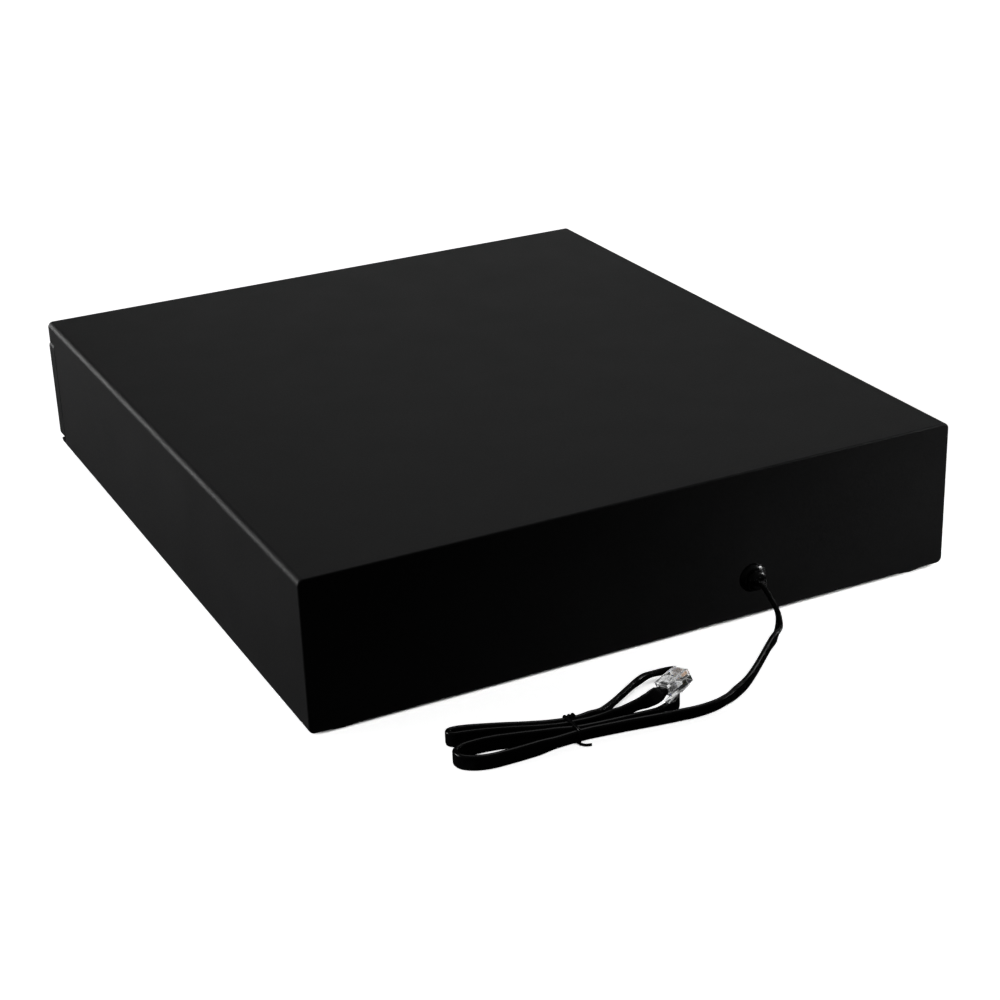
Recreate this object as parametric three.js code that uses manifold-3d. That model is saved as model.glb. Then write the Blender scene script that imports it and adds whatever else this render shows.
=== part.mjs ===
// A 13-inch steel cash drawer: folded steel case, sliding drawer with a till, rear latch worked by a
// solenoid, front key lock, and a flat six-wire lead tied in a hank with a modular plug on its end.
// Millimetres, +Z up. The drawer opens towards -Y, its lead leaves the back, at +Y. The origin is on the
// resting surface, below the middle of the drawer.
import * as THREE from "three";
import { mergeVertices } from "three/addons/utils/BufferGeometryUtils.js";
import Module from "manifold-3d";

const wasm = await Module();
wasm.setup();

// ---- Driving dimensions ----
const CASE_WIDTH = 330;
const CASE_DEPTH = 378;
const CASE_HEIGHT = 75;
const FOOT_HEIGHT = 2;
const SHEET = 1; // thickness of the folded steel
const GAP = 0.3; // clearance between neighbouring pieces
const LOCK_STAND = 2; // how far the lock's bezel stands out of the fascia
const FASCIA_STAND = 4; // how far the fascia stands out of the case
const REVEAL = 0.8; // gap between the fascia and the case round it
const OVER = 1; // how far a cutting tool runs past the faces it cuts

// ---- Planes and places worked out from them ----
const HALF_DEPTH = (CASE_DEPTH + FASCIA_STAND + LOCK_STAND) / 2;
const CASE_BACK = HALF_DEPTH;
const CASE_FRONT = CASE_BACK - CASE_DEPTH;
const FASCIA_FRONT = CASE_FRONT - FASCIA_STAND;
const SIDE = CASE_WIDTH / 2;
const INNER_TOP = CASE_HEIGHT - SHEET;
const FOLD_RADIUS = 3; // rounding of the case's four long folds
const END_RADIUS = 1; // rounding of its edges round the back and the mouth
const INNER_END_RADIUS = 0.3; // the same edges' rounding inside the case
const FLANGE = 26; // width of the case's turned-in bottom flanges

const FASCIA = { bottom: 6.5, top: 63, depth: 11.5, radius: 2.5, flange: 9 };
const FASCIA_BACK = FASCIA_FRONT + FASCIA.depth;
const MOUTH = { bottom: FASCIA.bottom - REVEAL, top: FASCIA.top + REVEAL, back: FASCIA_BACK + REVEAL };

const BASE = { half: SIDE - 2.6, floor: 3.5, sideTop: 36, rearTop: 14, inset: 3 };
const BASE_BACK = CASE_BACK - BASE.inset;
const BASE_TOP = BASE.floor + SHEET;

const PAN = { half: 150, front: FASCIA_BACK + GAP, back: 143, bottom: 7.5, top: 60 };
const LOCK = { z: 38, radius: 9, bezel: 11, bore: 6.2, plug: 5.8, back: -173 };
const CAM = { front: LOCK.back + 0.8, thickness: 1.5, hub: 6.5, shoulder: 27, reach: 32, tip: 3 };
const KEEPER = { half: 15, sheet: 1.5, legBack: CAM.front - 0.4, bottom: 62.8, back: -158 };
const SLOT = { x: -85, z: 52.5, width: 112, height: 6 }; // the document slot in the fascia

const ROLLER = { radius: 8, width: 6, bore: 2.3, pin: 2 };
const RAIL = { sheet: 1.2, bottom: 12, height: 21, outer: BASE.half - SHEET - GAP, front: -176, back: 152 };
const ROLLER_Z = RAIL.bottom + RAIL.sheet + GAP + ROLLER.radius;
const DRAWER_RAIL = { inner: PAN.half + GAP, bottom: 14, back: 142 };
const CHANNEL = { inner: DRAWER_RAIL.inner + RAIL.sheet, outer: RAIL.outer - RAIL.sheet, play: 0.8 };
const ROLLER_X = (CHANNEL.inner + CHANNEL.outer) / 2;
const CASE_ROLLER_Y = -165;
const DRAWER_ROLLER_Y = 133;

const TILL = { half: 147.5, front: -166, back: 140.5, bottom: 9, top: 60, wall: 2, floor: 14 };
const TILL_FLOOR_TOP = TILL.floor + 1.5;
const CROSS_WALL = { front: -49, back: -47, top: 56 };
const BILL_COUNT = 4;
const COIN_COUNT = 5;
const CLIP = {
  y: 133,
  z: 52,
  rod: 1.5,
  bore: 1.9,
  barrel: 4,
  width: 20,
  sheet: 2,
  reach: 48,
  drop: 33.5,
  pad: 2.5,
};

const LATCH = { x: 4, y: 172, z: 22, thickness: 2, pin: 3, bore: 3.3 };
const SOLENOID = {
  y: 160,
  z: 29,
  front: 24,
  back: 58,
  half: 10,
  coil: 9.5,
  plunger: 4,
  end: 1.5,
  floor: 0.8,
};
const SOLENOID_BOTTOM = SOLENOID.z - SOLENOID.coil - GAP - SOLENOID.floor;
const SPRING_POST = { x: 30, y: 183, radius: 2 };
const BRACKET = { bottom: BASE_TOP + GAP, sheet: 1.5, left: -56, right: 64, front: 146, back: 187.5 };
const BRACKET_TOP = BRACKET.bottom + BRACKET.sheet;
const SWITCH = {
  left: -50,
  right: -30,
  front: 145.6,
  back: 155.6,
  bottom: 22,
  top: 28.4,
  terminal: { first: 3, pitch: 6, width: 2.8, sheet: 0.6, length: 4 },
};
const EJECTOR = {
  x: -80,
  z: 24,
  front: PAN.back + 0.4,
  length: 16.6,
  pin: 2.2,
  bore: 2.7,
  body: 5,
  flange: 8,
};
const EJECTOR_BACK = EJECTOR.front + EJECTOR.length;
const EJECTOR_EAR = 186; // front face of the upright ear that the ejector's spring stands on

const GROMMET = { x: -55.6, z: 21.7, flange: 7, body: 5.2, hole: 4.6, reach: 6.5 };
const CORD_RADIUS = 3.5; // the flat cord is 7 mm wide, and stands on its edge

// ---- Materials ----
function finish(color, roughness, metalness, opacity = 1) {
  return new THREE.MeshStandardMaterial({
    color,
    roughness,
    metalness,
    opacity,
    transparent: opacity < 1,
  });
}

const powderCoat = finish(0x101012, 0.6, 0.1);
const zincSteel = finish(0xa9acad, 0.4, 0.9);
const springSteel = finish(0x8c8f92, 0.3, 1);
const blackAbs = finish(0x161618, 0.5, 0);
const whiteNylon = finish(0xe4e2da, 0.5, 0);
const blackRubber = finish(0x0c0c0c, 0.9, 0);
const blackPvc = finish(0x0b0b0c, 0.35, 0);
const clearPlastic = finish(0xe6e8ea, 0.1, 0, 0.5);
const chrome = finish(0xd8dadc, 0.12, 1);
const copperTape = finish(0x9a5a2c, 0.4, 0.6);

// ---- Solids ----
function toSolid(geometry) {
  const bare = geometry.clone();
  bare.deleteAttribute("normal");
  bare.deleteAttribute("uv");
  const merged = mergeVertices(bare, 1e-4);
  const mesh = new wasm.Mesh({
    numProp: 3,
    vertProperties: merged.attributes.position.array,
    triVerts: new Uint32Array(merged.index.array),
  });
  return new wasm.Manifold(mesh);
}

function toGeometry(solid) {
  const mesh = solid.getMesh();
  return new THREE.BufferGeometry()
    .setAttribute("position", new THREE.BufferAttribute(mesh.vertProperties, 3))
    .setIndex(new THREE.BufferAttribute(mesh.triVerts, 1));
}

function cut(body, ...tools) {
  const left = tools.reduce((solid, tool) => solid.subtract(toSolid(tool)), toSolid(body));
  return toGeometry(left);
}

function join(...pieces) {
  const [first, ...rest] = pieces.map(toSolid);
  return toGeometry(rest.reduce((solid, piece) => solid.add(piece), first));
}

// A box from its lowest and highest X, Y and Z.
function block([x0, x1], [y0, y1], [z0, z1]) {
  const box = new THREE.BoxGeometry(x1 - x0, y1 - y0, z1 - z0);
  return box.translate((x0 + x1) / 2, (y0 + y1) / 2, (z0 + z1) / 2);
}

function rodX(radius, [x0, x1], y, z, sides = 20) {
  const rod = new THREE.CylinderGeometry(radius, radius, x1 - x0, sides);
  return rod.rotateZ(Math.PI / 2).translate((x0 + x1) / 2, y, z);
}

function rodY(radius, [y0, y1], x, z, sides = 20) {
  const rod = new THREE.CylinderGeometry(radius, radius, y1 - y0, sides);
  return rod.translate(x, (y0 + y1) / 2, z);
}

function rodZ(radius, [z0, z1], x, y, sides = 20) {
  const rod = new THREE.CylinderGeometry(radius, radius, z1 - z0, sides);
  return rod.rotateX(Math.PI / 2).translate(x, y, (z0 + z1) / 2);
}

// A solid of revolution about the Y axis, from [radius, y] pairs listed with y rising on the outside.
function turned(profile, sides = 24) {
  const points = profile.map(([radius, y]) => new THREE.Vector2(radius, y));
  return new THREE.LatheGeometry(points, sides);
}

function roundedRectangle(width, height, radius) {
  const x = width / 2 - radius;
  const y = height / 2 - radius;
  const shape = new THREE.Shape();
  shape.absarc(x, y, radius, 0, Math.PI / 2);
  shape.absarc(-x, y, radius, Math.PI / 2, Math.PI);
  shape.absarc(-x, -y, radius, Math.PI, Math.PI * 1.5);
  shape.absarc(x, -y, radius, Math.PI * 1.5, Math.PI * 2);
  return shape;
}

// A box standing on z = 0: its upright edges and its top and bottom edges have their own rounding.
function softBox(width, depth, height, cornerRadius, edgeRadius) {
  const box = new THREE.ExtrudeGeometry(roundedRectangle(width, depth, cornerRadius), {
    depth: height - 2 * edgeRadius,
    bevelThickness: edgeRadius,
    bevelSize: edgeRadius,
    bevelOffset: -edgeRadius,
    bevelSegments: 3,
    curveSegments: 2,
  });
  return box.translate(0, 0, edgeRadius);
}

function polygon(points) {
  return new THREE.Shape(points.map(([x, y]) => new THREE.Vector2(x, y)));
}

// A plate with its outline in the XY plane, from z0 to z1.
function plate(shape, [z0, z1], curveSegments = 6) {
  const settings = { depth: z1 - z0, bevelEnabled: false, curveSegments };
  return new THREE.ExtrudeGeometry(shape, settings).translate(0, 0, z0);
}

// A bar whose outline is drawn in the YZ plane, from x0 to x1.
function barX(shape, [x0, x1], curveSegments = 6) {
  const turn = new THREE.Matrix4().makeBasis(
    new THREE.Vector3(0, 1, 0),
    new THREE.Vector3(0, 0, 1),
    new THREE.Vector3(1, 0, 0),
  );
  return plate(shape, [x0, x1], curveSegments).applyMatrix4(turn);
}

function ring(radius, sides) {
  const points = [];
  for (let i = 0; i < sides; i++) {
    const angle = (2 * Math.PI * i) / sides;
    points.push([radius * Math.cos(angle), radius * Math.sin(angle)]);
  }
  return polygon(points);
}

function tube(path, radius, steps, sides = 8) {
  const settings = { steps, bevelEnabled: false, extrudePath: path };
  return new THREE.ExtrudeGeometry(ring(radius, sides), settings);
}

function smoothPath(points) {
  return new THREE.CatmullRomCurve3(points.map(([x, y, z]) => new THREE.Vector3(x, y, z)));
}

// The centre line of a coil spring that lies along the unit vector "along".
class Helix extends THREE.Curve {
  constructor(start, along, length, radius, turns) {
    super();
    this.start = start;
    this.along = along;
    this.across = new THREE.Vector3(0, 0, 1);
    this.side = new THREE.Vector3().crossVectors(along, this.across);
    this.length = length;
    this.radius = radius;
    this.turns = turns;
  }

  getPoint(t, target = new THREE.Vector3()) {
    const angle = 2 * Math.PI * this.turns * t;
    return target
      .copy(this.start)
      .addScaledVector(this.along, this.length * t)
      .addScaledVector(this.across, this.radius * Math.cos(angle))
      .addScaledVector(this.side, this.radius * Math.sin(angle));
  }
}

function coilSpring(start, along, length, radius, turns, wire) {
  const path = new Helix(new THREE.Vector3(...start), new THREE.Vector3(...along), length, radius, turns);
  const stepsPerTurn = 9;
  const wireSides = 5;
  return tube(path, wire, turns * stepsPerTurn, wireSides);
}

function mesh(name, geometry, material) {
  const made = new THREE.Mesh(geometry, material);
  made.name = name;
  return made;
}

function groupOf(...children) {
  const group = new THREE.Group();
  group.add(...children);
  return group;
}

const SIDES = [
  { name: "left", sign: -1 },
  { name: "right", sign: 1 },
];

// A range from a to b that keeps its order when mirrored to the other side.
function span(sign, a, b) {
  return sign > 0 ? [a, b] : [-b, -a];
}

// ---- Case ----
// A box lying along Y, from its front: its long edges and its front and back edges have their own rounding.
function lyingBox(width, depth, [low, high], front, longRadius, endRadius) {
  const box = softBox(width, high - low, depth, longRadius, endRadius);
  return box.rotateX(-Math.PI / 2).translate(0, front, (low + high) / 2);
}

function caseShell() {
  const outside = lyingBox(
    CASE_WIDTH,
    CASE_DEPTH,
    [FOOT_HEIGHT, CASE_HEIGHT],
    CASE_FRONT,
    FOLD_RADIUS,
    END_RADIUS,
  );
  const inside = lyingBox(
    CASE_WIDTH - 2 * SHEET,
    CASE_DEPTH - 2 * SHEET,
    [FOOT_HEIGHT + SHEET, INNER_TOP],
    CASE_FRONT + SHEET,
    FOLD_RADIUS - SHEET,
    INNER_END_RADIUS,
  );
  const mouth = block(
    [-SIDE - OVER, SIDE + OVER],
    [CASE_FRONT - OVER, MOUTH.back],
    [MOUTH.bottom, MOUTH.top],
  );
  const underside = block(
    [-SIDE + FLANGE, SIDE - FLANGE],
    [CASE_FRONT + FLANGE, CASE_BACK - FLANGE],
    [0, BASE.floor],
  );
  const throughBack = [CASE_BACK - SHEET - OVER, CASE_BACK + OVER];
  const cableHole = rodY(GROMMET.hole + GAP, throughBack, GROMMET.x, GROMMET.z);
  const footHoles = footPlaces().map(({ x, y }) => rodZ(FOOT.stem + GAP, [0, BASE.floor], x, y, 12));
  return mesh("top_cover", cut(outside, inside, mouth, underside, cableHole, ...footHoles), powderCoat);
}

const FOOT = { radius: 15, stem: 3, inset: 17, chamfer: 0.5 };

function footPlaces() {
  const x = SIDE - FOOT.inset;
  return [
    { name: "foot_front_left", x: -x, y: CASE_FRONT + FOOT.inset },
    { name: "foot_front_right", x, y: CASE_FRONT + FOOT.inset },
    { name: "foot_rear_left", x: -x, y: CASE_BACK - FOOT.inset },
    { name: "foot_rear_right", x, y: CASE_BACK - FOOT.inset },
  ];
}

// A low rubber disc with a stem pressed into the case's bottom flange.
function foot({ name, x, y }) {
  const { radius, stem, chamfer } = FOOT;
  const shoulder = FOOT_HEIGHT - 0.1;
  const stemTop = BASE.floor - 0.2;
  const profile = [
    [0, 0],
    [radius - chamfer, 0],
    [radius, chamfer],
    [radius, shoulder],
    [stem, shoulder],
    [stem, stemTop],
    [0, stemTop],
  ];
  return mesh(name, turned(profile, 24).rotateX(Math.PI / 2).translate(x, y, 0), blackRubber);
}

function basePan() {
  const across = [-BASE.half, BASE.half];
  const along = [CASE_FRONT + BASE.inset, BASE_BACK];
  const floor = block(across, along, [BASE.floor, BASE_TOP]);
  const walls = SIDES.map(({ sign }) =>
    block(span(sign, BASE.half - SHEET, BASE.half), [RAIL.front, BASE_BACK], [BASE.floor, BASE.sideTop]),
  );
  const rear = block(across, [BASE_BACK - SHEET, BASE_BACK], [BASE.floor, BASE.rearTop]);
  const slotAcross = [-12, -6];
  const slotAlong = [164, 180];
  const releaseSlot = block(slotAcross, slotAlong, [BASE.floor - OVER, BASE_TOP + OVER]);
  return mesh("base_pan", cut(join(floor, ...walls, rear), releaseSlot), powderCoat);
}

// The bracket under the case's top, which the lock's cam catches.
function lockKeeper() {
  const { half, sheet, legBack, bottom, back } = KEEPER;
  const top = INNER_TOP - GAP;
  const leg = block([-half, half], [legBack - sheet, legBack], [bottom, top]);
  const foot = block([-half, half], [legBack - sheet, back], [top - sheet, top]);
  return mesh("lock_keeper", join(leg, foot), zincSteel);
}

// ---- Slide rails and rollers ----
function caseRail({ name, sign }) {
  const lip = CHANNEL.inner + CHANNEL.play;
  const top = RAIL.bottom + RAIL.height;
  const along = [RAIL.front, RAIL.back];
  const web = block(span(sign, CHANNEL.outer, RAIL.outer), along, [RAIL.bottom, top]);
  const lower = block(span(sign, lip, RAIL.outer), along, [RAIL.bottom, RAIL.bottom + RAIL.sheet]);
  const upper = block(span(sign, lip, RAIL.outer), along, [top - RAIL.sheet, top]);
  const throughWeb = span(sign, CHANNEL.outer - OVER, RAIL.outer + OVER);
  const pinHole = rodX(ROLLER.bore, throughWeb, CASE_ROLLER_Y, ROLLER_Z, 12);
  return mesh("case_rail_" + name, cut(join(web, lower, upper), pinHole), zincSteel);
}

function drawerRail({ name, sign }) {
  const { inner, bottom, back } = DRAWER_RAIL;
  const flangeBottom = ROLLER_Z + ROLLER.radius + GAP;
  const top = flangeBottom + RAIL.sheet;
  const along = [RAIL.front, back];
  const web = block(span(sign, inner, CHANNEL.inner), along, [bottom, top]);
  const flange = block(span(sign, inner, CHANNEL.outer - CHANNEL.play), along, [flangeBottom, top]);
  const throughWeb = span(sign, inner - OVER, CHANNEL.inner + OVER);
  const pinHole = rodX(ROLLER.bore, throughWeb, DRAWER_ROLLER_Y, ROLLER_Z, 12);
  return mesh("drawer_rail_" + name, cut(join(web, flange), pinHole), zincSteel);
}

function roller(name, sign, y) {
  const half = ROLLER.width / 2;
  const rim = ROLLER.radius;
  const chamfer = 0.7;
  const profile = [
    [ROLLER.bore, -half],
    [rim - chamfer, -half],
    [rim, -half + chamfer],
    [rim, half - chamfer],
    [rim - chamfer, half],
    [ROLLER.bore, half],
    [ROLLER.bore, -half],
  ];
  const wheel = turned(profile, 20).rotateZ(Math.PI / 2).translate(sign * ROLLER_X, y, ROLLER_Z);
  return mesh(name, wheel, whiteNylon);
}

function rollerPin(name, sign, [near, far], y) {
  return mesh(name, rodX(ROLLER.pin, span(sign, near, far), y, ROLLER_Z, 12), springSteel);
}

// ---- Latch at the back of the case ----
function latchBracket() {
  const { left, right, front, back, bottom, sheet } = BRACKET;
  const base = block([left, right], [front, back], [bottom, BRACKET_TOP]);
  const shelfTop = SOLENOID_BOTTOM - GAP;
  const shelfAlong = [SOLENOID.y - SOLENOID.half, SOLENOID.y + SOLENOID.half];
  const shelf = block([SOLENOID.front, SOLENOID.back], shelfAlong, [shelfTop - sheet, shelfTop]);
  const legs = [SOLENOID.front, SOLENOID.back - sheet].map((x) =>
    block([x, x + sheet], shelfAlong, [bottom, shelfTop]),
  );
  const switchAcross = [SWITCH.left, SWITCH.right];
  const switchTop = SWITCH.bottom - GAP;
  const switchLeg = block(switchAcross, [SWITCH.back - sheet, SWITCH.back], [bottom, switchTop]);
  const switchShelf = block(switchAcross, [SWITCH.front + GAP, SWITCH.back], [switchTop - sheet, switchTop]);
  const { x, y, radius } = SPRING_POST;
  const springPost = rodZ(radius, [bottom, LATCH.z + LATCH.thickness + 1], x, y, 12);
  return mesh("latch_bracket", join(base, shelf, ...legs, switchLeg, switchShelf, springPost), zincSteel);
}

// The shouldered pin that the latch turns on, with a collar under it and a head over it.
function latchPin() {
  const collar = 5;
  const head = 4.6;
  const low = BRACKET_TOP + GAP;
  const headBottom = LATCH.z + LATCH.thickness + GAP;
  const headTop = headBottom + 1.6;
  const profile = [
    [0, low],
    [collar, low],
    [collar, LATCH.z - GAP],
    [LATCH.pin, LATCH.z - GAP],
    [LATCH.pin, headBottom],
    [head, headBottom],
    [head, headTop],
    [0, headTop],
  ];
  const pin = turned(profile, 20).rotateX(Math.PI / 2).translate(LATCH.x, LATCH.y, 0);
  return mesh("latch_pivot_pin", pin, springSteel);
}

// A flat hook that holds the drawer's striker, with a turned-up tab that the solenoid pulls.
function latchLever() {
  const outline = polygon([
    [-5, 149.8],
    [3, 146.2],
    [9.5, 146.2],
    [9.5, 175.5],
    [8, 184.5],
    [1.5, 184.5],
    [-1.5, 176],
    [-1.5, 168],
    [2.2, 162],
    [2.2, 151],
    [-5, 151],
  ]);
  const top = LATCH.z + LATCH.thickness;
  const hook = plate(outline, [LATCH.z, top]);
  const tabAcross = [3.3, 4.8];
  const tabTop = top + 9.5;
  const tabHalf = 6;
  const tab = block(tabAcross, [SOLENOID.y - tabHalf, SOLENOID.y + tabHalf], [LATCH.z, tabTop]);
  const slotAcross = [tabAcross[0] - OVER, tabAcross[1] + OVER];
  const slotHalf = 3.2;
  const slotBottom = top + 2.4;
  const tabSlot = block(
    slotAcross,
    [SOLENOID.y - slotHalf, SOLENOID.y + slotHalf],
    [slotBottom, tabTop + OVER],
  );
  const bore = rodZ(LATCH.bore, [LATCH.z - OVER, top + OVER], LATCH.x, LATCH.y);
  return mesh("latch_lever", cut(join(hook, tab), tabSlot, bore), zincSteel);
}

// It lies between the lever's tail and its post on the bracket.
function latchSpring() {
  const wire = 0.4;
  const radius = 2.6;
  const turns = 9;
  const start = 9;
  const length = SPRING_POST.x - SPRING_POST.radius - 1 - start;
  const middle = LATCH.z + LATCH.thickness / 2;
  const spring = coilSpring([start, SPRING_POST.y, middle], [1, 0, 0], length, radius, turns, wire);
  return mesh("latch_spring", spring, springSteel);
}

function solenoidFrame() {
  const { front, back, y, z, half, end, coil, floor, plunger } = SOLENOID;
  const across = [y - half, y + half];
  const bottom = block([front, back], across, [SOLENOID_BOTTOM, SOLENOID_BOTTOM + floor]);
  const ends = [front, back - end].map((x) =>
    block([x, x + end], across, [SOLENOID_BOTTOM, z + coil + floor]),
  );
  const plungerHole = rodX(plunger + 2 * GAP, [front - OVER, front + end + OVER], y, z);
  return mesh("solenoid_frame", cut(join(bottom, ...ends), plungerHole), zincSteel);
}

// A bobbin with a flange at each end and the winding between them.
function solenoidCoil() {
  const { front, back, y, z, coil, plunger, end } = SOLENOID;
  const near = front + end + GAP;
  const far = back - end - GAP;
  const flange = 1.5;
  const bore = plunger + 0.5;
  const winding = coil - 1;
  const profile = [
    [bore, near],
    [coil, near],
    [coil, near + flange],
    [winding, near + flange],
    [winding, far - flange],
    [coil, far - flange],
    [coil, far],
    [bore, far],
    [bore, near],
  ];
  const coilBody = turned(profile, 24).rotateZ(-Math.PI / 2).translate(0, y, z);
  return mesh("solenoid_coil", coilBody, copperTape);
}

// The plunger's neck passes through the lever's tab, and its head pulls on the far side of it.
function solenoidPlunger() {
  const head = { radius: 3.8, near: -0.9, far: 1.6 };
  const neck = { radius: 1.8, end: 7.5 };
  const end = 45;
  const profile = [
    [0, head.near],
    [head.radius, head.near],
    [head.radius, head.far],
    [neck.radius, head.far],
    [neck.radius, neck.end],
    [SOLENOID.plunger, neck.end],
    [SOLENOID.plunger, end],
    [0, end],
  ];
  const plunger = turned(profile, 20).rotateZ(-Math.PI / 2).translate(0, SOLENOID.y, SOLENOID.z);
  return mesh("solenoid_plunger", plunger, springSteel);
}

function microSwitch() {
  const { left, right, front, back, bottom, top, terminal } = SWITCH;
  const body = block([left, right], [front, back], [bottom, top]);
  const middle = (bottom + top) / 2;
  const terminals = [0, 1, 2].map((i) => {
    const start = left + terminal.first + i * terminal.pitch;
    return block(
      [start, start + terminal.width],
      [back, back + terminal.length],
      [middle - terminal.sheet / 2, middle + terminal.sheet / 2],
    );
  });
  return mesh("micro_switch", join(body, ...terminals), blackAbs);
}

function switchLever() {
  const { left, right, front, bottom, top } = SWITCH;
  const upright = [bottom + 1, top - 1];
  const leafBack = front - 1.4;
  const leaf = block([left + 1, right + 1], [leafBack - 0.5, leafBack], upright);
  const hinge = { radius: 0.9, y: front - 1.3 };
  const barrel = rodZ(hinge.radius, upright, left + 1, hinge.y, 10);
  return mesh("switch_lever", join(leaf, barrel), springSteel);
}

// A sprung cap that pushes the drawer open once the latch lets it go.
function ejectorGuide() {
  const { x, z, pin, front } = EJECTOR;
  const half = 10;
  const footFront = 166;
  const earTop = z + 9;
  const across = [x - half, x + half];
  const foot = block(across, [footFront, BRACKET.back], [BRACKET.bottom, BRACKET_TOP]);
  const ear = block(across, [EJECTOR_EAR, BRACKET.back], [BRACKET.bottom, earTop]);
  const guide = rodY(pin, [front + 2.5, EJECTOR_EAR + OVER], x, z, 12);
  return mesh("ejector_guide", join(foot, ear, guide), zincSteel);
}

function ejectorCap() {
  const { x, z, front, bore, body, flange } = EJECTOR;
  const rim = 1.5;
  const wall = 2;
  const profile = [
    [0, front],
    [body - 1, front],
    [body, front + 1],
    [body, EJECTOR_BACK - rim],
    [flange, EJECTOR_BACK - rim],
    [flange, EJECTOR_BACK],
    [bore, EJECTOR_BACK],
    [bore, front + wall],
    [0, front + wall],
  ];
  return mesh("ejector_cap", turned(profile, 20).translate(x, 0, z), whiteNylon);
}

function ejectorSpring() {
  const wire = 0.7;
  const radius = 6;
  const turns = 6;
  const start = EJECTOR_BACK + GAP + wire;
  const length = EJECTOR_EAR - GAP - wire - start;
  const spring = coilSpring([EJECTOR.x, start, EJECTOR.z], [0, 1, 0], length, radius, turns, wire);
  return mesh("ejector_spring", spring, springSteel);
}

// ---- Wiring inside the case ----
// The lead's jacket comes in through the grommet and parts into the coil's lead and the switch's lead.
function innerHarness() {
  const jacket = smoothPath([
    [GROMMET.x, CASE_BACK - 7.3, GROMMET.z],
    [GROMMET.x, 179, GROMMET.z - 1],
    [-54, 173, 15],
    [-47, 172, 10.5],
    [-38, 176, 9.5],
    [-24, 180, 10],
  ]);
  const toCoil = smoothPath([
    [-26, 179.4, 10],
    [-12, 183, 9.5],
    [4, 184, 9.5],
    [18, 181, 10],
    [30, 177, 14],
    [37, 174, 22],
    [40, 169.9, SOLENOID.z],
  ]);
  const toSwitch = smoothPath([
    [-26, 179.4, 10.4],
    [-21, 177, 13],
    [-24, 172, 17],
    [-32, 168, 22],
    [-39.6, 164, 24.8],
    [-39.6, SWITCH.back + 4 + GAP, 25.2],
  ]);
  const leads = [toCoil, toSwitch].map((path) => tube(path, 1, 18));
  return mesh("inner_harness", join(tube(jacket, 2, 20), ...leads), blackPvc);
}

// ---- Drawer ----
function drawerFascia() {
  const endRadius = 2;
  const spare = 10; // the solid runs on behind the fascia, and is cut off there
  const outside = lyingBox(
    CASE_WIDTH,
    FASCIA.depth + spare,
    [FASCIA.bottom, FASCIA.top],
    FASCIA_FRONT,
    FASCIA.radius,
    endRadius,
  );
  const hollow = lyingBox(
    CASE_WIDTH - 2 * SHEET,
    FASCIA.depth - 2 * SHEET,
    [FASCIA.bottom + SHEET, FASCIA.top - SHEET],
    FASCIA_FRONT + SHEET,
    FASCIA.radius - SHEET,
    endRadius - SHEET,
  );
  const behind = block(
    [-SIDE - OVER, SIDE + OVER],
    [FASCIA_BACK, FASCIA_BACK + spare + OVER],
    [0, CASE_HEIGHT],
  );
  const inset = SHEET + FASCIA.flange;
  const rearWindow = block(
    [-SIDE + inset, SIDE - inset],
    [FASCIA_BACK - SHEET - OVER, FASCIA_BACK + OVER],
    [FASCIA.bottom + inset, FASCIA.top - inset],
  );
  const throughFront = [FASCIA_FRONT - OVER, FASCIA_FRONT + SHEET + OVER];
  const lockHole = rodY(LOCK.radius + GAP, throughFront, 0, LOCK.z);
  const slot = block(...slotRoom(0, throughFront));
  return mesh("drawer_front", cut(outside, hollow, behind, rearWindow, lockHole, slot), powderCoat);
}

// The three ranges of the document slot's room through a wall, with a margin round it.
function slotRoom(margin, along) {
  const half = { x: SLOT.width / 2 + margin, z: SLOT.height / 2 + margin };
  return [[SLOT.x - half.x, SLOT.x + half.x], along, [SLOT.z - half.z, SLOT.z + half.z]];
}

function drawerPan() {
  const { half, front, back, bottom, top } = PAN;
  const outside = block([-half, half], [front, back], [bottom, top]);
  const inside = block(
    [-half + SHEET, half - SHEET],
    [front + SHEET, back - SHEET],
    [bottom + SHEET, top + OVER],
  );
  const throughFront = [front - OVER, front + SHEET + OVER];
  const lockHole = rodY(LOCK.radius + 1.5, throughFront, 0, LOCK.z);
  const slotWindow = block(...slotRoom(2, throughFront));
  const pinHoles = SIDES.map(({ sign }) =>
    rodX(ROLLER.bore, span(sign, half - SHEET - OVER, half + OVER), DRAWER_ROLLER_Y, ROLLER_Z, 12),
  );
  const pan = cut(outside, inside, lockHole, slotWindow, ...pinHoles);
  return mesh("drawer_pan", pan, powderCoat);
}

// The bracket on the drawer's back wall, whose upright pin the latch hooks.
function striker() {
  const front = PAN.back + GAP;
  const sheet = 1.5;
  const low = 17;
  const high = 38;
  const wall = block([-12, 10], [front, front + sheet], [low - 1, high]);
  const armAcross = [-7, 5];
  const armAlong = [front, 158];
  const lower = block(armAcross, armAlong, [low, low + sheet]);
  const upper = block(armAcross, armAlong, [high - sheet, high]);
  const catchPin = { radius: 2.2, x: -1.5, y: 153.6 };
  const between = [low + sheet / 2, high - sheet / 2];
  const pin = rodZ(catchPin.radius, between, catchPin.x, catchPin.y);
  return mesh("striker", join(wall, lower, upper, pin), zincSteel);
}

// ---- Lock ----
function lockHousing() {
  const start = FASCIA_FRONT - LOCK_STAND;
  const chamfer = 0.8;
  const profile = [
    [LOCK.bore, start],
    [LOCK.bezel - chamfer, start],
    [LOCK.bezel, start + chamfer],
    [LOCK.bezel, FASCIA_FRONT - GAP],
    [LOCK.radius, FASCIA_FRONT - GAP],
    [LOCK.radius, LOCK.back],
    [LOCK.bore, LOCK.back],
    [LOCK.bore, start],
  ];
  return mesh("lock_housing", turned(profile, 28).translate(0, 0, LOCK.z), chrome);
}

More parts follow.
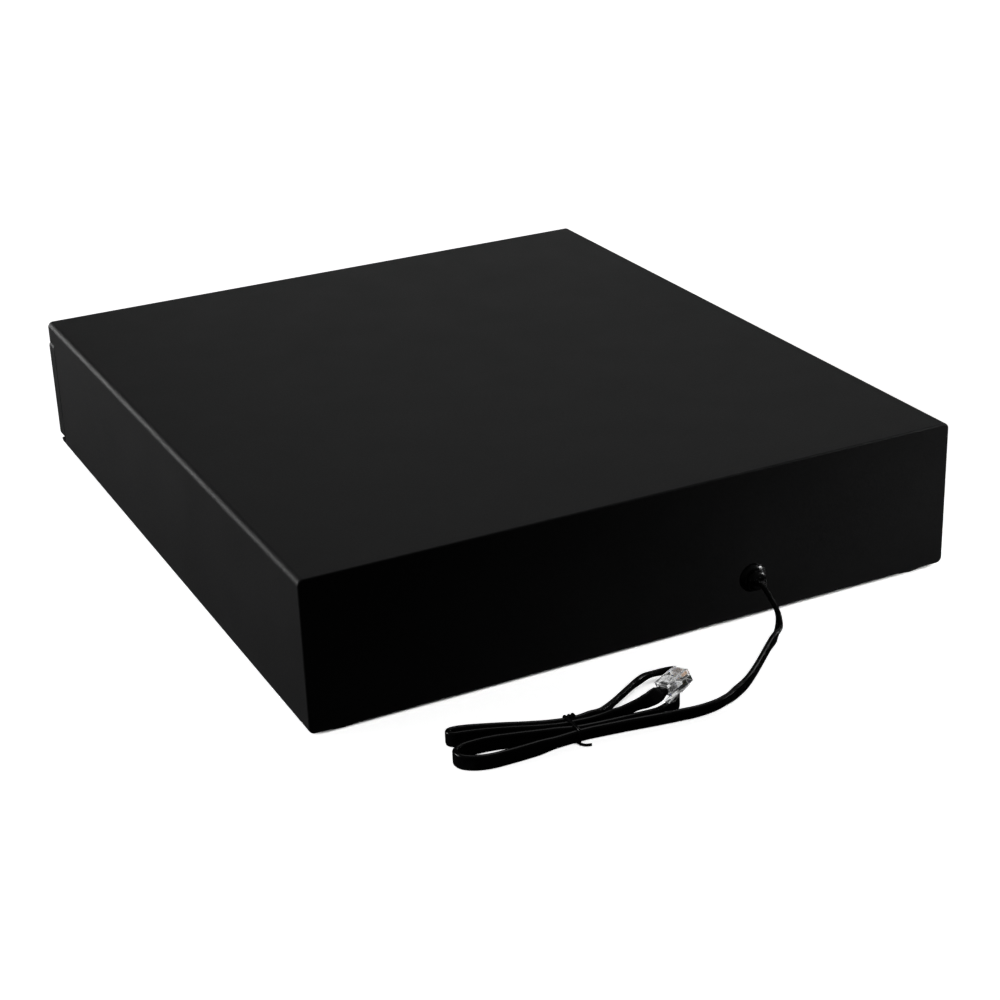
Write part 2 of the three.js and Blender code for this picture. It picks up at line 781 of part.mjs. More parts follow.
function lockNut() {
  const acrossCorners = 26;
  const thickness = 3.5;
  const front = FASCIA_FRONT + SHEET + GAP;
  const back = front + thickness;
  const nut = cut(
    rodY(acrossCorners / 2, [front, back], 0, LOCK.z, 6),
    rodY(LOCK.radius + GAP, [front - OVER, back + OVER], 0, LOCK.z, 28),
  );
  return mesh("lock_nut", nut, zincSteel);
}

function lockPlug() {
  const start = FASCIA_FRONT - LOCK_STAND + GAP;
  const plug = rodY(LOCK.plug, [start, LOCK.back + 0.5], 0, LOCK.z, 24);
  const { half, reach, depth } = { half: 0.8, reach: 3.6, depth: 12 };
  const keyway = block([-half, half], [start - OVER, start + depth], [LOCK.z - reach, LOCK.z + reach]);
  return mesh("lock_plug", cut(plug, keyway), chrome);
}

function lockCam() {
  const { front, thickness, hub, shoulder, reach, tip } = CAM;
  const cam = new THREE.Shape();
  cam.absarc(0, 0, hub, Math.PI / 2, Math.PI * 1.5);
  cam.lineTo(shoulder, -hub);
  cam.lineTo(reach, -tip);
  cam.lineTo(reach, tip);
  cam.lineTo(shoulder, hub);
  const blade = plate(cam, [0, thickness], 4).rotateX(Math.PI / 2).translate(0, front + thickness, LOCK.z);
  return mesh("lock_cam", blade, zincSteel);
}

// ---- Till ----
const TILL_INNER = {
  half: TILL.half - TILL.wall,
  front: TILL.front + TILL.wall,
  back: TILL.back - TILL.wall,
};
const DIVIDER = { width: 2, groove: 1, top: 58 };
const BILL_WIDTH = (2 * TILL_INNER.half - (BILL_COUNT - 1) * DIVIDER.width) / BILL_COUNT;

function dividerX(i) {
  return -TILL_INNER.half + (i + 1) * BILL_WIDTH + (i + 0.5) * DIVIDER.width;
}

function dividerSpan(i, margin) {
  const half = DIVIDER.width / 2 + margin;
  return [dividerX(i) - half, dividerX(i) + half];
}

function billX(i) {
  return -TILL_INNER.half + (i + 0.5) * BILL_WIDTH + i * DIVIDER.width;
}

function tillTray() {
  const { half, front, back, bottom, top, floor } = TILL;
  const inner = TILL_INNER;
  const outside = block([-half, half], [front, back], [bottom, top]);
  const toTop = [TILL_FLOOR_TOP, top + OVER];
  const upper = block([-inner.half, inner.half], [inner.front, inner.back], toTop);
  const lower = block([-inner.half, inner.half], [front - OVER, inner.back], [bottom - OVER, floor]);
  const wall = block(
    [-inner.half - OVER, inner.half + OVER],
    [CROSS_WALL.front, CROSS_WALL.back],
    [floor, CROSS_WALL.top],
  );
  const inBack = [inner.back - OVER, inner.back + DIVIDER.groove];
  const inWall = [CROSS_WALL.back - DIVIDER.groove, CROSS_WALL.back + OVER];
  const grooves = [];
  for (let i = 0; i < BILL_COUNT - 1; i++) {
    const across = dividerSpan(i, GAP);
    grooves.push(block(across, inBack, toTop), block(across, inWall, toTop));
  }
  const rodHoles = rodX(CLIP.bore, [-half - OVER, half + OVER], CLIP.y, CLIP.z, 12);
  const tray = cut(join(cut(outside, upper, lower), wall), ...grooves, rodHoles);
  return mesh("till_tray", tray, blackAbs);
}

function billDivider(i) {
  const depth = DIVIDER.groove - GAP;
  const sheet = block(
    dividerSpan(i, 0),
    [CROSS_WALL.back - depth, TILL_INNER.back + depth],
    [TILL_FLOOR_TOP + GAP, DIVIDER.top],
  );
  const rodHole = rodX(CLIP.bore, dividerSpan(i, OVER), CLIP.y, CLIP.z, 12);
  return mesh("bill_divider_" + (i + 1), cut(sheet, rodHole), blackAbs);
}

const COIN_TRAY = {
  half: 145,
  front: -163.6,
  back: -49.4,
  bottom: TILL_FLOOR_TOP + GAP,
  top: 57,
  wall: 1.8,
};
const CUP = { floor: 18, radius: 14 };
const CUP_WIDTH = (2 * COIN_TRAY.half - (COIN_COUNT + 1) * COIN_TRAY.wall) / COIN_COUNT;

// A lift-out insert with a row of scooped coin cups.
function coinTray() {
  const { half, front, back, bottom, top, wall } = COIN_TRAY;
  const near = front + wall;
  const far = back - wall;
  const scoop = new THREE.Shape();
  scoop.moveTo(near, top + OVER);
  scoop.lineTo(near, CUP.floor + CUP.radius);
  scoop.absarc(near + CUP.radius, CUP.floor + CUP.radius, CUP.radius, Math.PI, Math.PI * 1.5);
  scoop.absarc(far - CUP.radius, CUP.floor + CUP.radius, CUP.radius, Math.PI * 1.5, Math.PI * 2);
  scoop.lineTo(far, top + OVER);
  const cups = [];
  for (let i = 0; i < COIN_COUNT; i++) {
    const start = -half + wall + i * (CUP_WIDTH + wall);
    cups.push(barX(scoop, [start, start + CUP_WIDTH], 3));
  }
  const body = block([-half, half], [front, back], [bottom, top]);
  return mesh("coin_tray", cut(body, ...cups), blackAbs);
}

function clipRod() {
  const length = TILL.half - GAP;
  return mesh("clip_rod", rodX(CLIP.rod, [-length, length], CLIP.y, CLIP.z, 12), springSteel);
}

// A sprung arm that holds the notes down, with its barrel on the rod.
function billClip(i) {
  const across = [billX(i) - CLIP.width / 2, billX(i) + CLIP.width / 2];
  const length = Math.hypot(CLIP.reach, CLIP.drop);
  const slope = Math.atan2(CLIP.drop, CLIP.reach);
  const flat = block(across, [-length, 0], [-CLIP.sheet / 2, CLIP.sheet / 2]);
  const arm = flat.rotateX(slope).translate(0, CLIP.y, CLIP.z);
  const barrel = rodX(CLIP.barrel, across, CLIP.y, CLIP.z, 16);
  const pad = rodX(CLIP.pad, across, CLIP.y - CLIP.reach, CLIP.z - CLIP.drop, 12);
  const bore = rodX(CLIP.bore, [across[0] - OVER, across[1] + OVER], CLIP.y, CLIP.z, 12);
  return mesh("bill_clip_" + (i + 1), cut(join(arm, barrel, pad), bore), blackAbs);
}

function clipSpring(i) {
  const wire = 0.4;
  const length = 5;
  const radius = 2.9;
  const turns = 3;
  const start = billX(i) + CLIP.width / 2 + GAP + 1.5 * wire;
  const spring = coilSpring([start, CLIP.y, CLIP.z], [1, 0, 0], length, radius, turns, wire);
  return mesh("clip_spring_" + (i + 1), spring, springSteel);
}

// ---- Lead, hank and plug ----
const FLOOR_Z = CORD_RADIUS + 0.2; // height of the cord's centre where it lies on the surface

const LEAD_ROUTE = [
  [GROMMET.x, CASE_BACK + GROMMET.reach + GAP, GROMMET.z],
  [GROMMET.x, CASE_BACK + GROMMET.reach + 2.3, GROMMET.z],
  [-55.8, 204.8, 19.8],
  [-56, 208.6, 16.6],
  [-56, 211.4, 13.2],
  [-55.6, 213.6, 10.4],
  [-54.6, 215.4, 7.6],
  [-52.6, 217.8, 5.4],
  [-49.4, 220.4, 4.2],
  [-46.4, 222.8, FLOOR_Z],
  [-39.3, 229.1, FLOOR_Z],
  [-31.5, 236, FLOOR_Z],
  [-23.9, 242.4, FLOOR_Z],
  [-16.5, 247.6, FLOOR_Z],
  [-8.8, 251.8, FLOOR_Z],
  [-1.5, 255.2, FLOOR_Z],
  [4.8, 257.2, FLOOR_Z],
  [13.6, 257.8, FLOOR_Z],
  [24, 256.9, FLOOR_Z],
  [33, 255.2, FLOOR_Z],
];

const TAIL_ROUTE = [
  [50, 243.4, 11.2],
  [43.5, 246, 11.2],
  [37, 248.8, 11.3],
  [32, 250.4, 11.6],
  [29, 250.5, 12.2],
  [26.2, 249.9, 13.2],
];

// The plug lies on the hank with its nose up and its latch side turned down and outwards.
const PLUG = {
  length: 12.3,
  width: 9.65,
  height: 6,
  corner: 0.6,
  place: [19, 249.3, 12.4],
  turn: 11,
  pitch: 18,
  roll: 15,
};
const TIE = { x: 68.5, wire: 1.2, far: 237.9, near: 253.2, top: 2 * CORD_RADIUS + 0.6 };

function grommet() {
  const { x, z, flange, body, hole, reach } = GROMMET;
  const profile = [
    [0, CASE_BACK - 7],
    [hole - 0.6, CASE_BACK - 7],
    [hole, CASE_BACK - 6],
    [hole, CASE_BACK + GAP],
    [flange, CASE_BACK + GAP],
    [flange, CASE_BACK + 2.2],
    [flange - 1, CASE_BACK + 3],
    [body, CASE_BACK + 3],
    [body, CASE_BACK + reach - 1.5],
    [body - 1.5, CASE_BACK + reach],
    [0, CASE_BACK + reach],
  ];
  return mesh("cable_grommet", turned(profile, 20).translate(x, 0, z), blackAbs);
}

// The outer shape of the tied hank: one wide loop at the plug's end of the tie and two at its far end.
function hank() {
  const plugLoop = [
    [33.6, 250.2],
    [22, 250.6],
    [13.5, 247.4],
    [7.5, 240],
    [5, 231],
    [7, 224],
    [14, 220.5],
    [24, 222.8],
    [36, 229.2],
    [47, 236.8],
    [58, 240.2],
  ];
  const farLoops = [
    [72, 239],
    [86, 233],
    [101, 225.4],
    [112, 222],
    [119, 222.4],
    [121, 226],
    [121.4, 232],
    [123.4, 239],
    [122.4, 245.6],
    [117, 250.2],
    [110, 252.2],
    [100, 253.2],
    [86, 252.8],
    [72, 251.6],
    [58, 252.4],
    [46, 254.6],
  ];
  const shape = new THREE.Shape();
  const leadEdge = [33.6, 257.4];
  shape.moveTo(...plugLoop[0]);
  shape.splineThru([...plugLoop.slice(1), ...farLoops].map(([x, y]) => new THREE.Vector2(x, y)));
  shape.lineTo(...leadEdge);
  const upright = [FLOOR_Z - CORD_RADIUS, 2 * CORD_RADIUS + GAP];
  return mesh("cord_hank", plate(shape, upright, 2), blackPvc);
}

// The wire tie round the hank's waist: twisted together on top, with one end left lying on the surface.
function hankTie() {
  const { x, wire, far, near, top } = TIE;
  const low = 0.2;
  const across = [x - wire / 2, x + wire / 2];
  const farLeg = block(across, [far, far + wire], [low, top + wire]);
  const nearLeg = block(across, [near - wire, near], [low, top + wire]);
  const over = block(across, [far, near], [top, top + wire]);
  const twist = block([x - 7, x], [240, 242], [top, top + 1.6 * wire]);
  const looseEnd = block([-5.5, 0], [-wire, 0], [low, low + wire]);
  looseEnd.rotateZ(THREE.MathUtils.degToRad(-40)).translate(x + wire / 2, near, 0);
  return mesh("cord_tie", join(farLeg, nearLeg, over, twist, looseEnd), blackPvc);
}

// A six-position modular plug. Before it is laid down, its nose points to -X and its contacts upwards.
function modularPlug() {
  const { length, width, height, corner, place, turn, pitch, roll } = PLUG;
  const nose = -length / 2;
  const latch = { half: 3.1, tipHalf: 1.7, sheet: 0.9, drop: 2, tip: length / 2 + 1.2 };
  const latchAlong = [-latch.drop, latch.sheet - latch.drop];
  const body = plate(roundedRectangle(length, width, corner), [0, height], 1);
  const rearPocket = block([0.8, 4.4], [-3, 3], [height - 1.6, height + OVER]);
  const contactPocket = block([nose + 1, nose + 4.6], [-3.7, 3.7], [height - 1, height + OVER]);
  const hinge = block([nose + 0.3, nose + 1.5], [-latch.half, latch.half], [-latch.drop, OVER]);
  const latchWide = block([nose + 0.3, 1], [-latch.half, latch.half], latchAlong);
  const latchTip = block([0, latch.tip], [-latch.tipHalf, latch.tipHalf], latchAlong);
  const plug = cut(join(body, hinge, latchWide, latchTip), rearPocket, contactPocket);
  plug.rotateX(THREE.MathUtils.degToRad(roll));
  plug.rotateY(THREE.MathUtils.degToRad(pitch));
  plug.rotateZ(THREE.MathUtils.degToRad(turn));
  return mesh("modular_plug", plug.translate(...place), clearPlastic);
}

function cord() {
  return [
    grommet(),
    mesh("cord_lead", tube(smoothPath(LEAD_ROUTE), CORD_RADIUS, 44, 10), blackPvc),
    hank(),
    hankTie(),
    mesh("cord_tail", tube(smoothPath(TAIL_ROUTE), CORD_RADIUS, 8, 10), blackPvc),
    modularPlug(),
  ];
}

// ---- Assembly ----
const caseGroup = groupOf(
  caseShell(),
  basePan(),
  ...footPlaces().map(foot),
  lockKeeper(),
  ...SIDES.map(caseRail),
  ...SIDES.map(({ name, sign }) =>
    rollerPin("case_roller_pin_" + name, sign, [CHANNEL.inner + CHANNEL.play, RAIL.outer], CASE_ROLLER_Y),
  ),
  latchBracket(),
  latchPin(),
  latchSpring(),
  solenoidFrame(),
  solenoidCoil(),
  microSwitch(),
  ejectorGuide(),
  ejectorSpring(),
  innerHarness(),
  ...cord(),
);

const rearMechanism = groupOf(latchLever(), solenoidPlunger(), switchLever(), ejectorCap());

const rollers = groupOf(
  ...SIDES.map(({ name, sign }) => roller("case_roller_" + name, sign, CASE_ROLLER_Y)),
  ...SIDES.map(({ name, sign }) => roller("drawer_roller_" + name, sign, DRAWER_ROLLER_Y)),
);

const drawerPinSpan = [PAN.half - SHEET, CHANNEL.outer - CHANNEL.play];
const drawer = groupOf(
  drawerFascia(),
  drawerPan(),
  striker(),
  ...SIDES.map(drawerRail),
  ...SIDES.map(({ name, sign }) =>
    rollerPin("drawer_roller_pin_" + name, sign, drawerPinSpan, DRAWER_ROLLER_Y),
  ),
  lockHousing(),
  lockNut(),
  lockPlug(),
  lockCam(),
  tillTray(),
  coinTray(),
  clipRod(),
);
for (let i = 0; i < BILL_COUNT - 1; i++) {
  drawer.add(billDivider(i));
}
for (let i = 0; i < BILL_COUNT; i++) {
  drawer.add(billClip(i), clipSpring(i));
}

export default groupOf(caseGroup, rearMechanism, rollers, drawer);
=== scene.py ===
import math

import bmesh
import bpy
from mathutils import Matrix, Vector


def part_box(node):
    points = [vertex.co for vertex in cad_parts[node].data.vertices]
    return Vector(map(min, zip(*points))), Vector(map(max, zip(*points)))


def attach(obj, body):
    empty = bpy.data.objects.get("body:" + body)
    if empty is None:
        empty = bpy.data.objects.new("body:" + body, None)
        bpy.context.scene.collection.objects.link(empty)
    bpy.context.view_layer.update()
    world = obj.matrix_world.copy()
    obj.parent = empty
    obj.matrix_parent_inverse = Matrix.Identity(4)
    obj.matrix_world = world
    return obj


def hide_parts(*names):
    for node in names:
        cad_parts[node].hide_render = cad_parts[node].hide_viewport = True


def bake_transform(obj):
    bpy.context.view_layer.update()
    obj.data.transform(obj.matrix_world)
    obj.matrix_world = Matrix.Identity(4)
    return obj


MM = 0.001
Z_AXIS = Vector((0, 0, 1))

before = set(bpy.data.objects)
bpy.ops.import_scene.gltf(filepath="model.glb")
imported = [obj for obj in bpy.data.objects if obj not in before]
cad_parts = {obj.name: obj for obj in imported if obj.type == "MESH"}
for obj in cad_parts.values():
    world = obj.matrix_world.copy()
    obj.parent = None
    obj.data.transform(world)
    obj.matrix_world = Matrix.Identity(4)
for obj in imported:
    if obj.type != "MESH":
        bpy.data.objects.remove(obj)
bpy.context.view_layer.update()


# ---- Helpers: places ----
def corners(node):
    low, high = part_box(node)
    return Vector(low), Vector(high)


def middle(node):
    low, high = corners(node)
    return (low + high) / 2


def turned(degrees, axis):
    return Matrix.Rotation(math.radians(degrees), 4, axis)


# ---- Helpers: meshes ----
SHARP = 32


def smooth_group():
    """Geometry nodes that shade a mesh smooth, and keep edges sharp that turn more than SHARP degrees."""
    tree = bpy.data.node_groups.new("smooth_by_angle", "GeometryNodeTree")
    tree.interface.new_socket("Geometry", in_out="INPUT", socket_type="NodeSocketGeometry")
    tree.interface.new_socket("Geometry", in_out="OUTPUT", socket_type="NodeSocketGeometry")
    source = tree.nodes.new("NodeGroupInput")
    result = tree.nodes.new("NodeGroupOutput")
    faces = tree.nodes.new("GeometryNodeSetShadeSmooth")
    edges = tree.nodes.new("GeometryNodeSetShadeSmooth")
    edges.domain = "EDGE"
    edges.inputs["Shade Smooth"].default_value = False
    angle = tree.nodes.new("GeometryNodeInputMeshEdgeAngle")
    compare = tree.nodes.new("FunctionNodeCompare")
    compare.operation = "GREATER_THAN"
    compare.inputs["B"].default_value = math.radians(SHARP)
    link = tree.links.new
    link(source.outputs[0], faces.inputs["Geometry"])
    link(faces.outputs[0], edges.inputs["Geometry"])
    link(angle.outputs["Unsigned Angle"], compare.inputs["A"])
    link(compare.outputs[0], edges.inputs["Selection"])
    link(edges.outputs[0], result.inputs[0])
    return tree


SMOOTH = smooth_group()


def soften(obj, width=0.25 * MM, segments=2):
    """Rounds the sharp edges and shades round faces smooth, with modifiers only."""
    if width:
        bevel = obj.modifiers.new("rounded_edges", "BEVEL")
        bevel.width = width
        bevel.segments = segments
        bevel.limit_method = "ANGLE"
        bevel.angle_limit = math.radians(40)
        bevel.use_clamp_overlap = True
    smooth = obj.modifiers.new("smooth_by_angle", "NODES")
    smooth.node_group = SMOOTH
    weighted = obj.modifiers.new("flat_faces", "WEIGHTED_NORMAL")
    weighted.keep_sharp = True


def add_object(name, mesh, material=None):
    obj = bpy.data.objects.new(name, mesh)
    bpy.context.scene.collection.objects.link(obj)
    if material is not None:
        mesh.materials.append(material)
    return obj


def finish_bmesh(name, bm, material=None):
    bmesh.ops.recalc_face_normals(bm, faces=bm.faces)
    mesh = bpy.data.meshes.new(name)
    bm.to_mesh(mesh)
    bm.free()
    return add_object(name, mesh, material)


def block(bm, low, high, place=None):
    """Adds a box between two corners, moved by the 4x4 matrix place if there is one."""
    size = [b - a for a, b in zip(low, high)]
    centre = [(a + b) / 2 for a, b in zip(low, high)]
    made = bmesh.ops.create_cube(bm, size=1)["verts"]
    bmesh.ops.scale(bm, vec=size, verts=made)
    bmesh.ops.translate(bm, vec=centre, verts=made)
    if place is not None:
        bmesh.ops.transform(bm, matrix=place, verts=made)
    return made


def lathe(bm, profile, steps=48, place=None):
    """Adds a solid of revolution about Z from (radius, height) pairs; radius 0 closes it on the axis."""
    rings = []
    for radius, height in profile:
        if radius == 0:
            rings.append([bm.verts.new((0, 0, height))])
            continue
        ring = []
        for i in range(steps):
            angle = 2 * math.pi * i / steps
            ring.append(bm.verts.new((radius * math.cos(angle), radius * math.sin(angle), height)))
        rings.append(ring)
    for a, b in zip(rings, rings[1:]):
        for i in range(steps):
            j = (i + 1) % steps
            corners_of_face = [a[i % len(a)], a[j % len(a)], b[j % len(b)], b[i % len(b)]]
            unique = list(dict.fromkeys(corners_of_face))
            if len(unique) > 2:
                bm.faces.new(unique)
    if place is not None:
        verts = [v for ring in rings for v in ring]
        bmesh.ops.transform(bm, matrix=place, verts=verts)


def sweep(bm, section, places, closed=False):
    """Adds a bar whose section (list of (u, v)) is put at each (centre, u axis, v axis) of places."""
    rings = []
    for centre, u_axis, v_axis in places:
        rings.append([bm.verts.new(centre + u * u_axis + v * v_axis) for u, v in section])
    count = len(section)
    pairs = list(zip(rings, rings[1:]))
    if closed:
        pairs.append((rings[-1], rings[0]))
    for a, b in pairs:
        for i in range(count):
            j = (i + 1) % count
            bm.faces.new((a[i], a[j], b[j], b[i]))
    if not closed:
        bm.faces.new(rings[0])
        bm.faces.new(rings[-1])


def rounded_section(width, height, radius, steps=4):
    """A rounded rectangle as (u, v) points, u along width."""
    points = []
    for corner in range(4):
        cu = (width / 2 - radius) * (1 if corner in (0, 3) else -1)
        cv = (height / 2 - radius) * (1 if corner in (0, 1) else -1)
        for i in range(steps + 1):
            angle = math.pi / 2 * (corner + i / steps)
            points.append((cu + radius * math.cos(angle), cv + radius * math.sin(angle)))
    return points


def smooth_route(points, spacing):
    """Points about spacing apart on a centripetal Catmull-Rom curve through the given ones."""
    result = []
    ends = [points[0] * 2 - points[1]] + list(points) + [points[-1] * 2 - points[-2]]
    for p0, p1, p2, p3 in zip(ends, ends[1:], ends[2:], ends[3:]):
        t1 = max((p1 - p0).length ** 0.5, 1e-6)
        t2 = t1 + max((p2 - p1).length ** 0.5, 1e-6)
        t3 = t2 + max((p3 - p2).length ** 0.5, 1e-6)
        steps = max(2, round((p2 - p1).length / spacing))
        for i in range(steps):
            t = t1 + (t2 - t1) * i / steps
            a1 = p0 * ((t1 - t) / t1) + p1 * (t / t1)
            a2 = p1 * ((t2 - t) / (t2 - t1)) + p2 * ((t - t1) / (t2 - t1))
            a3 = p2 * ((t3 - t) / (t3 - t2)) + p3 * ((t - t2) / (t3 - t2))
            b1 = a1 * ((t2 - t) / t2) + a2 * (t / t2)
            b2 = a2 * ((t3 - t) / (t3 - t1)) + a3 * ((t - t1) / (t3 - t1))
            result.append(b1 * ((t2 - t) / (t2 - t1)) + b2 * ((t - t1) / (t2 - t1)))
    result.append(points[-1].copy())
    return result


def tangents(line):
    ends = [line[0]] + line + [line[-1]]
    return [(after - before).normalized() for before, after in zip(ends, ends[2:])]


def applied(obj):
    """Replaces obj's mesh by what its modifiers make of it."""
    depsgraph = bpy.context.evaluated_depsgraph_get()
    mesh = bpy.data.meshes.new_from_object(obj.evaluated_get(depsgraph))
    old = obj.data
    obj.modifiers.clear()
    obj.data = mesh
    bpy.data.meshes.remove(old)
    return obj


def cut_away(obj, cutters):
    for cutter in cutters:
        boolean = obj.modifiers.new("cut", "BOOLEAN")
        boolean.operation = "DIFFERENCE"
        boolean.solver = "EXACT"
        boolean.object = cutter
    applied(obj)
    for cutter in cutters:
        mesh = cutter.data
        bpy.data.objects.remove(cutter)
        bpy.data.meshes.remove(mesh)
    return obj


# ---- Helpers: materials ----
class Look:
    """A node material in the making: its Principled shader and short ways to add nodes."""

    def __init__(self, name, base, roughness, metallic=0.0):
        self.material = bpy.data.materials.new(name)
        self.material.use_nodes = True
        self.nodes = self.material.node_tree.nodes
        self.link = self.material.node_tree.links.new
        self.shader = self.nodes["Principled BSDF"]
        self.shader.inputs["Metallic"].default_value = metallic
        self.base = base
        self.roughness = roughness
        self.place = self.nodes.new("ShaderNodeTexCoord").outputs["Object"]

    def stretched(self, scale):
        mapping = self.nodes.new("ShaderNodeMapping")
        mapping.inputs["Scale"].default_value = scale
        self.link(self.place, mapping.inputs["Vector"])
        return mapping.outputs["Vector"]

    def noise(self, size, detail=3.0, rough=0.55, vector=None):
        """Noise whose features are about size across, in metres."""
        noise = self.nodes.new("ShaderNodeTexNoise")
        noise.inputs["Scale"].default_value = 1 / size
        noise.inputs["Detail"].default_value = detail
        noise.inputs["Roughness"].default_value = rough
        self.link(vector or self.place, noise.inputs["Vector"])
        return noise.outputs["Fac"]

    def cells(self, size, vector=None):
        voronoi = self.nodes.new("ShaderNodeTexVoronoi")
        voronoi.inputs["Scale"].default_value = 1 / size
        self.link(vector or self.place, voronoi.inputs["Vector"])
        return voronoi.outputs["Distance"]

    def spread(self, value, low, high, start=0.3, end=0.7):
        """value from start..end mapped onto low..high."""
        spread = self.nodes.new("ShaderNodeMapRange")
        spread.inputs["From Min"].default_value = start
        spread.inputs["From Max"].default_value = end
        spread.inputs["To Min"].default_value = low
        spread.inputs["To Max"].default_value = high
        self.link(value, spread.inputs["Value"])
        return spread.outputs["Result"]

    def math(self, operation, a, b):
        node = self.nodes.new("ShaderNodeMath")
        node.operation = operation
        for socket, value in zip(node.inputs, (a, b)):
            if isinstance(value, (int, float)):
                socket.default_value = value
            else:
                self.link(value, socket)
        return node.outputs[0]

    def mixed(self, factor, a, b):
        mix = self.nodes.new("ShaderNodeMix")
        mix.data_type = "RGBA"
        self.link(factor, mix.inputs["Factor"])
        for socket, value in ((mix.inputs["A"], a), (mix.inputs["B"], b)):
            if isinstance(value, (tuple, list)):
                socket.default_value = (*value, 1)
            else:
                self.link(value, socket)
        return mix.outputs["Result"]

    def colour_by(self, factor, darker, lighter):
        self.link(self.mixed(factor, darker, lighter), self.shader.inputs["Base Color"])

    def rough_by(self, value):
        self.link(value, self.shader.inputs["Roughness"])

    def bump(self, height, depth, strength=1.0, under=None):
        bump = self.nodes.new("ShaderNodeBump")
        bump.inputs["Strength"].default_value = strength
        bump.inputs["Distance"].default_value = depth
        self.link(height, bump.inputs["Height"])
        if under is not None:
            self.link(under, bump.inputs["Normal"])
        return bump.outputs["Normal"]

    def normal_from(self, normal):
        self.link(normal, self.shader.inputs["Normal"])

    def edges(self, radius):
        """1 on edges rounder than radius, 0 on flat faces."""
        bevel = self.nodes.new("ShaderNodeBevel")
        bevel.samples = 4
        bevel.inputs["Radius"].default_value = radius
        flat = self.nodes.new("ShaderNodeNewGeometry").outputs["Normal"]
        dot = self.nodes.new("ShaderNodeVectorMath")
        dot.operation = "DOT_PRODUCT"
        self.link(bevel.outputs["Normal"], dot.inputs[0])
        self.link(flat, dot.inputs[1])
        return self.spread(dot.outputs["Value"], 1, 0, 0.75, 0.99)


def shade(colour, factor):
    return tuple(channel * factor for channel in colour)


def make_powder_coat():
    """Fine-textured black powder coat: orange peel under a fine grain, thin wear on the edges."""
    look = Look("powder_coat_black", (0.0125, 0.0125, 0.013), 0.55)
    grain = look.noise(0.7 * MM, detail=4, rough=0.65)
    peel = look.cells(1.3 * MM)
    handling = look.noise(35 * MM, detail=5)
    tone = look.math("ADD", look.spread(grain, 0, 0.8), look.spread(handling, 0, 0.2))
    base = look.mixed(tone, shade(look.base, 0.7), shade(look.base, 1.35))
    patches = look.spread(look.noise(5 * MM, 5), 0, 0.6, 0.5, 0.75)
    worn = look.math("MULTIPLY", look.edges(0.8 * MM), patches)
    look.colour_by(worn, base, (0.045, 0.045, 0.047))
    look.rough_by(look.math("ADD", look.spread(handling, 0.5, 0.54), look.spread(grain, -0.06, 0.06)))
    look.normal_from(look.bump(grain, 0.05 * MM, 0.5, under=look.bump(peel, 0.04 * MM, 0.3)))
    look.shader.inputs["Specular IOR Level"].default_value = 0.28
    return look.material


def make_zinc(name="zinc_plated_steel", base=(0.5, 0.51, 0.52), streak=(1, 14, 14)):
    """Bright zinc plate, rolled: fine streaks along the sheet and a cloudy passivation."""
    look = Look(name, base, 0.35, metallic=1.0)
    brushed = look.noise(2.5 * MM, detail=5, vector=look.stretched(streak))
    cloud = look.noise(14 * MM, detail=3)
    look.colour_by(look.spread(cloud, 0, 1), shade(base, 0.8), shade(base, 1.12))
    look.rough_by(look.math("ADD", look.spread(cloud, 0.28, 0.4), look.spread(brushed, -0.05, 0.07)))
    look.normal_from(look.bump(brushed, 0.02 * MM, 0.4))
    return look.material


def make_spring_steel():
    """Drawn or ground bare steel with a thin film of oil."""
    look = Look("spring_steel", (0.42, 0.42, 0.43), 0.28, metallic=1.0)
    drawn = look.noise(0.6 * MM, detail=4)
    look.colour_by(look.spread(drawn, 0, 1), shade(look.base, 0.75), shade(look.base, 1.15))
    look.rough_by(look.spread(drawn, 0.2, 0.36))
    look.normal_from(look.bump(drawn, 0.01 * MM, 0.4))
    return look.material


def make_chrome():
    """Polished chrome with a light haze."""
    look = Look("chrome", (0.72, 0.73, 0.75), 0.1, metallic=1.0)
    haze = look.noise(3 * MM, detail=4)
    look.colour_by(look.spread(haze, 0, 1), shade(look.base, 0.92), shade(look.base, 1.05))
    look.rough_by(look.spread(haze, 0.06, 0.16))
    look.normal_from(look.bump(look.noise(0.3 * MM), 0.004 * MM, 0.3))
    return look.material


def make_moulded(name, base, rough, grain_size=0.5 * MM, depth=0.03 * MM):
    """Moulded plastic with a spark-eroded grain and slightly polished edges."""
    look = Look(name, base, rough)
    grain = look.noise(grain_size, detail=4, rough=0.6)
    cloud = look.noise(25 * MM, detail=3)
    tone = look.math("ADD", look.spread(grain, -0.2, 0.2), look.spread(cloud, 0.3, 0.7))
    look.colour_by(tone, shade(base, 0.82), shade(base, 1.2))
    polish = look.math("MULTIPLY", look.edges(0.5 * MM), -0.12)
    look.rough_by(look.math("ADD", look.spread(cloud, rough - 0.05, rough + 0.06), polish))
    look.normal_from(look.bump(grain, depth, 0.4))
    return look.material


def make_rubber():
    """Matt black rubber with some dust in its grain."""
    look = Look("black_rubber", (0.012, 0.012, 0.012), 0.8)
    grain = look.noise(0.8 * MM, detail=5)
    dust = look.noise(6 * MM, detail=4)
    look.colour_by(look.spread(dust, 0, 1, 0.45, 0.8), look.base, (0.045, 0.043, 0.04))
    look.rough_by(look.spread(grain, 0.7, 0.9))
    look.normal_from(look.bump(grain, 0.05 * MM, 0.5))
    return look.material


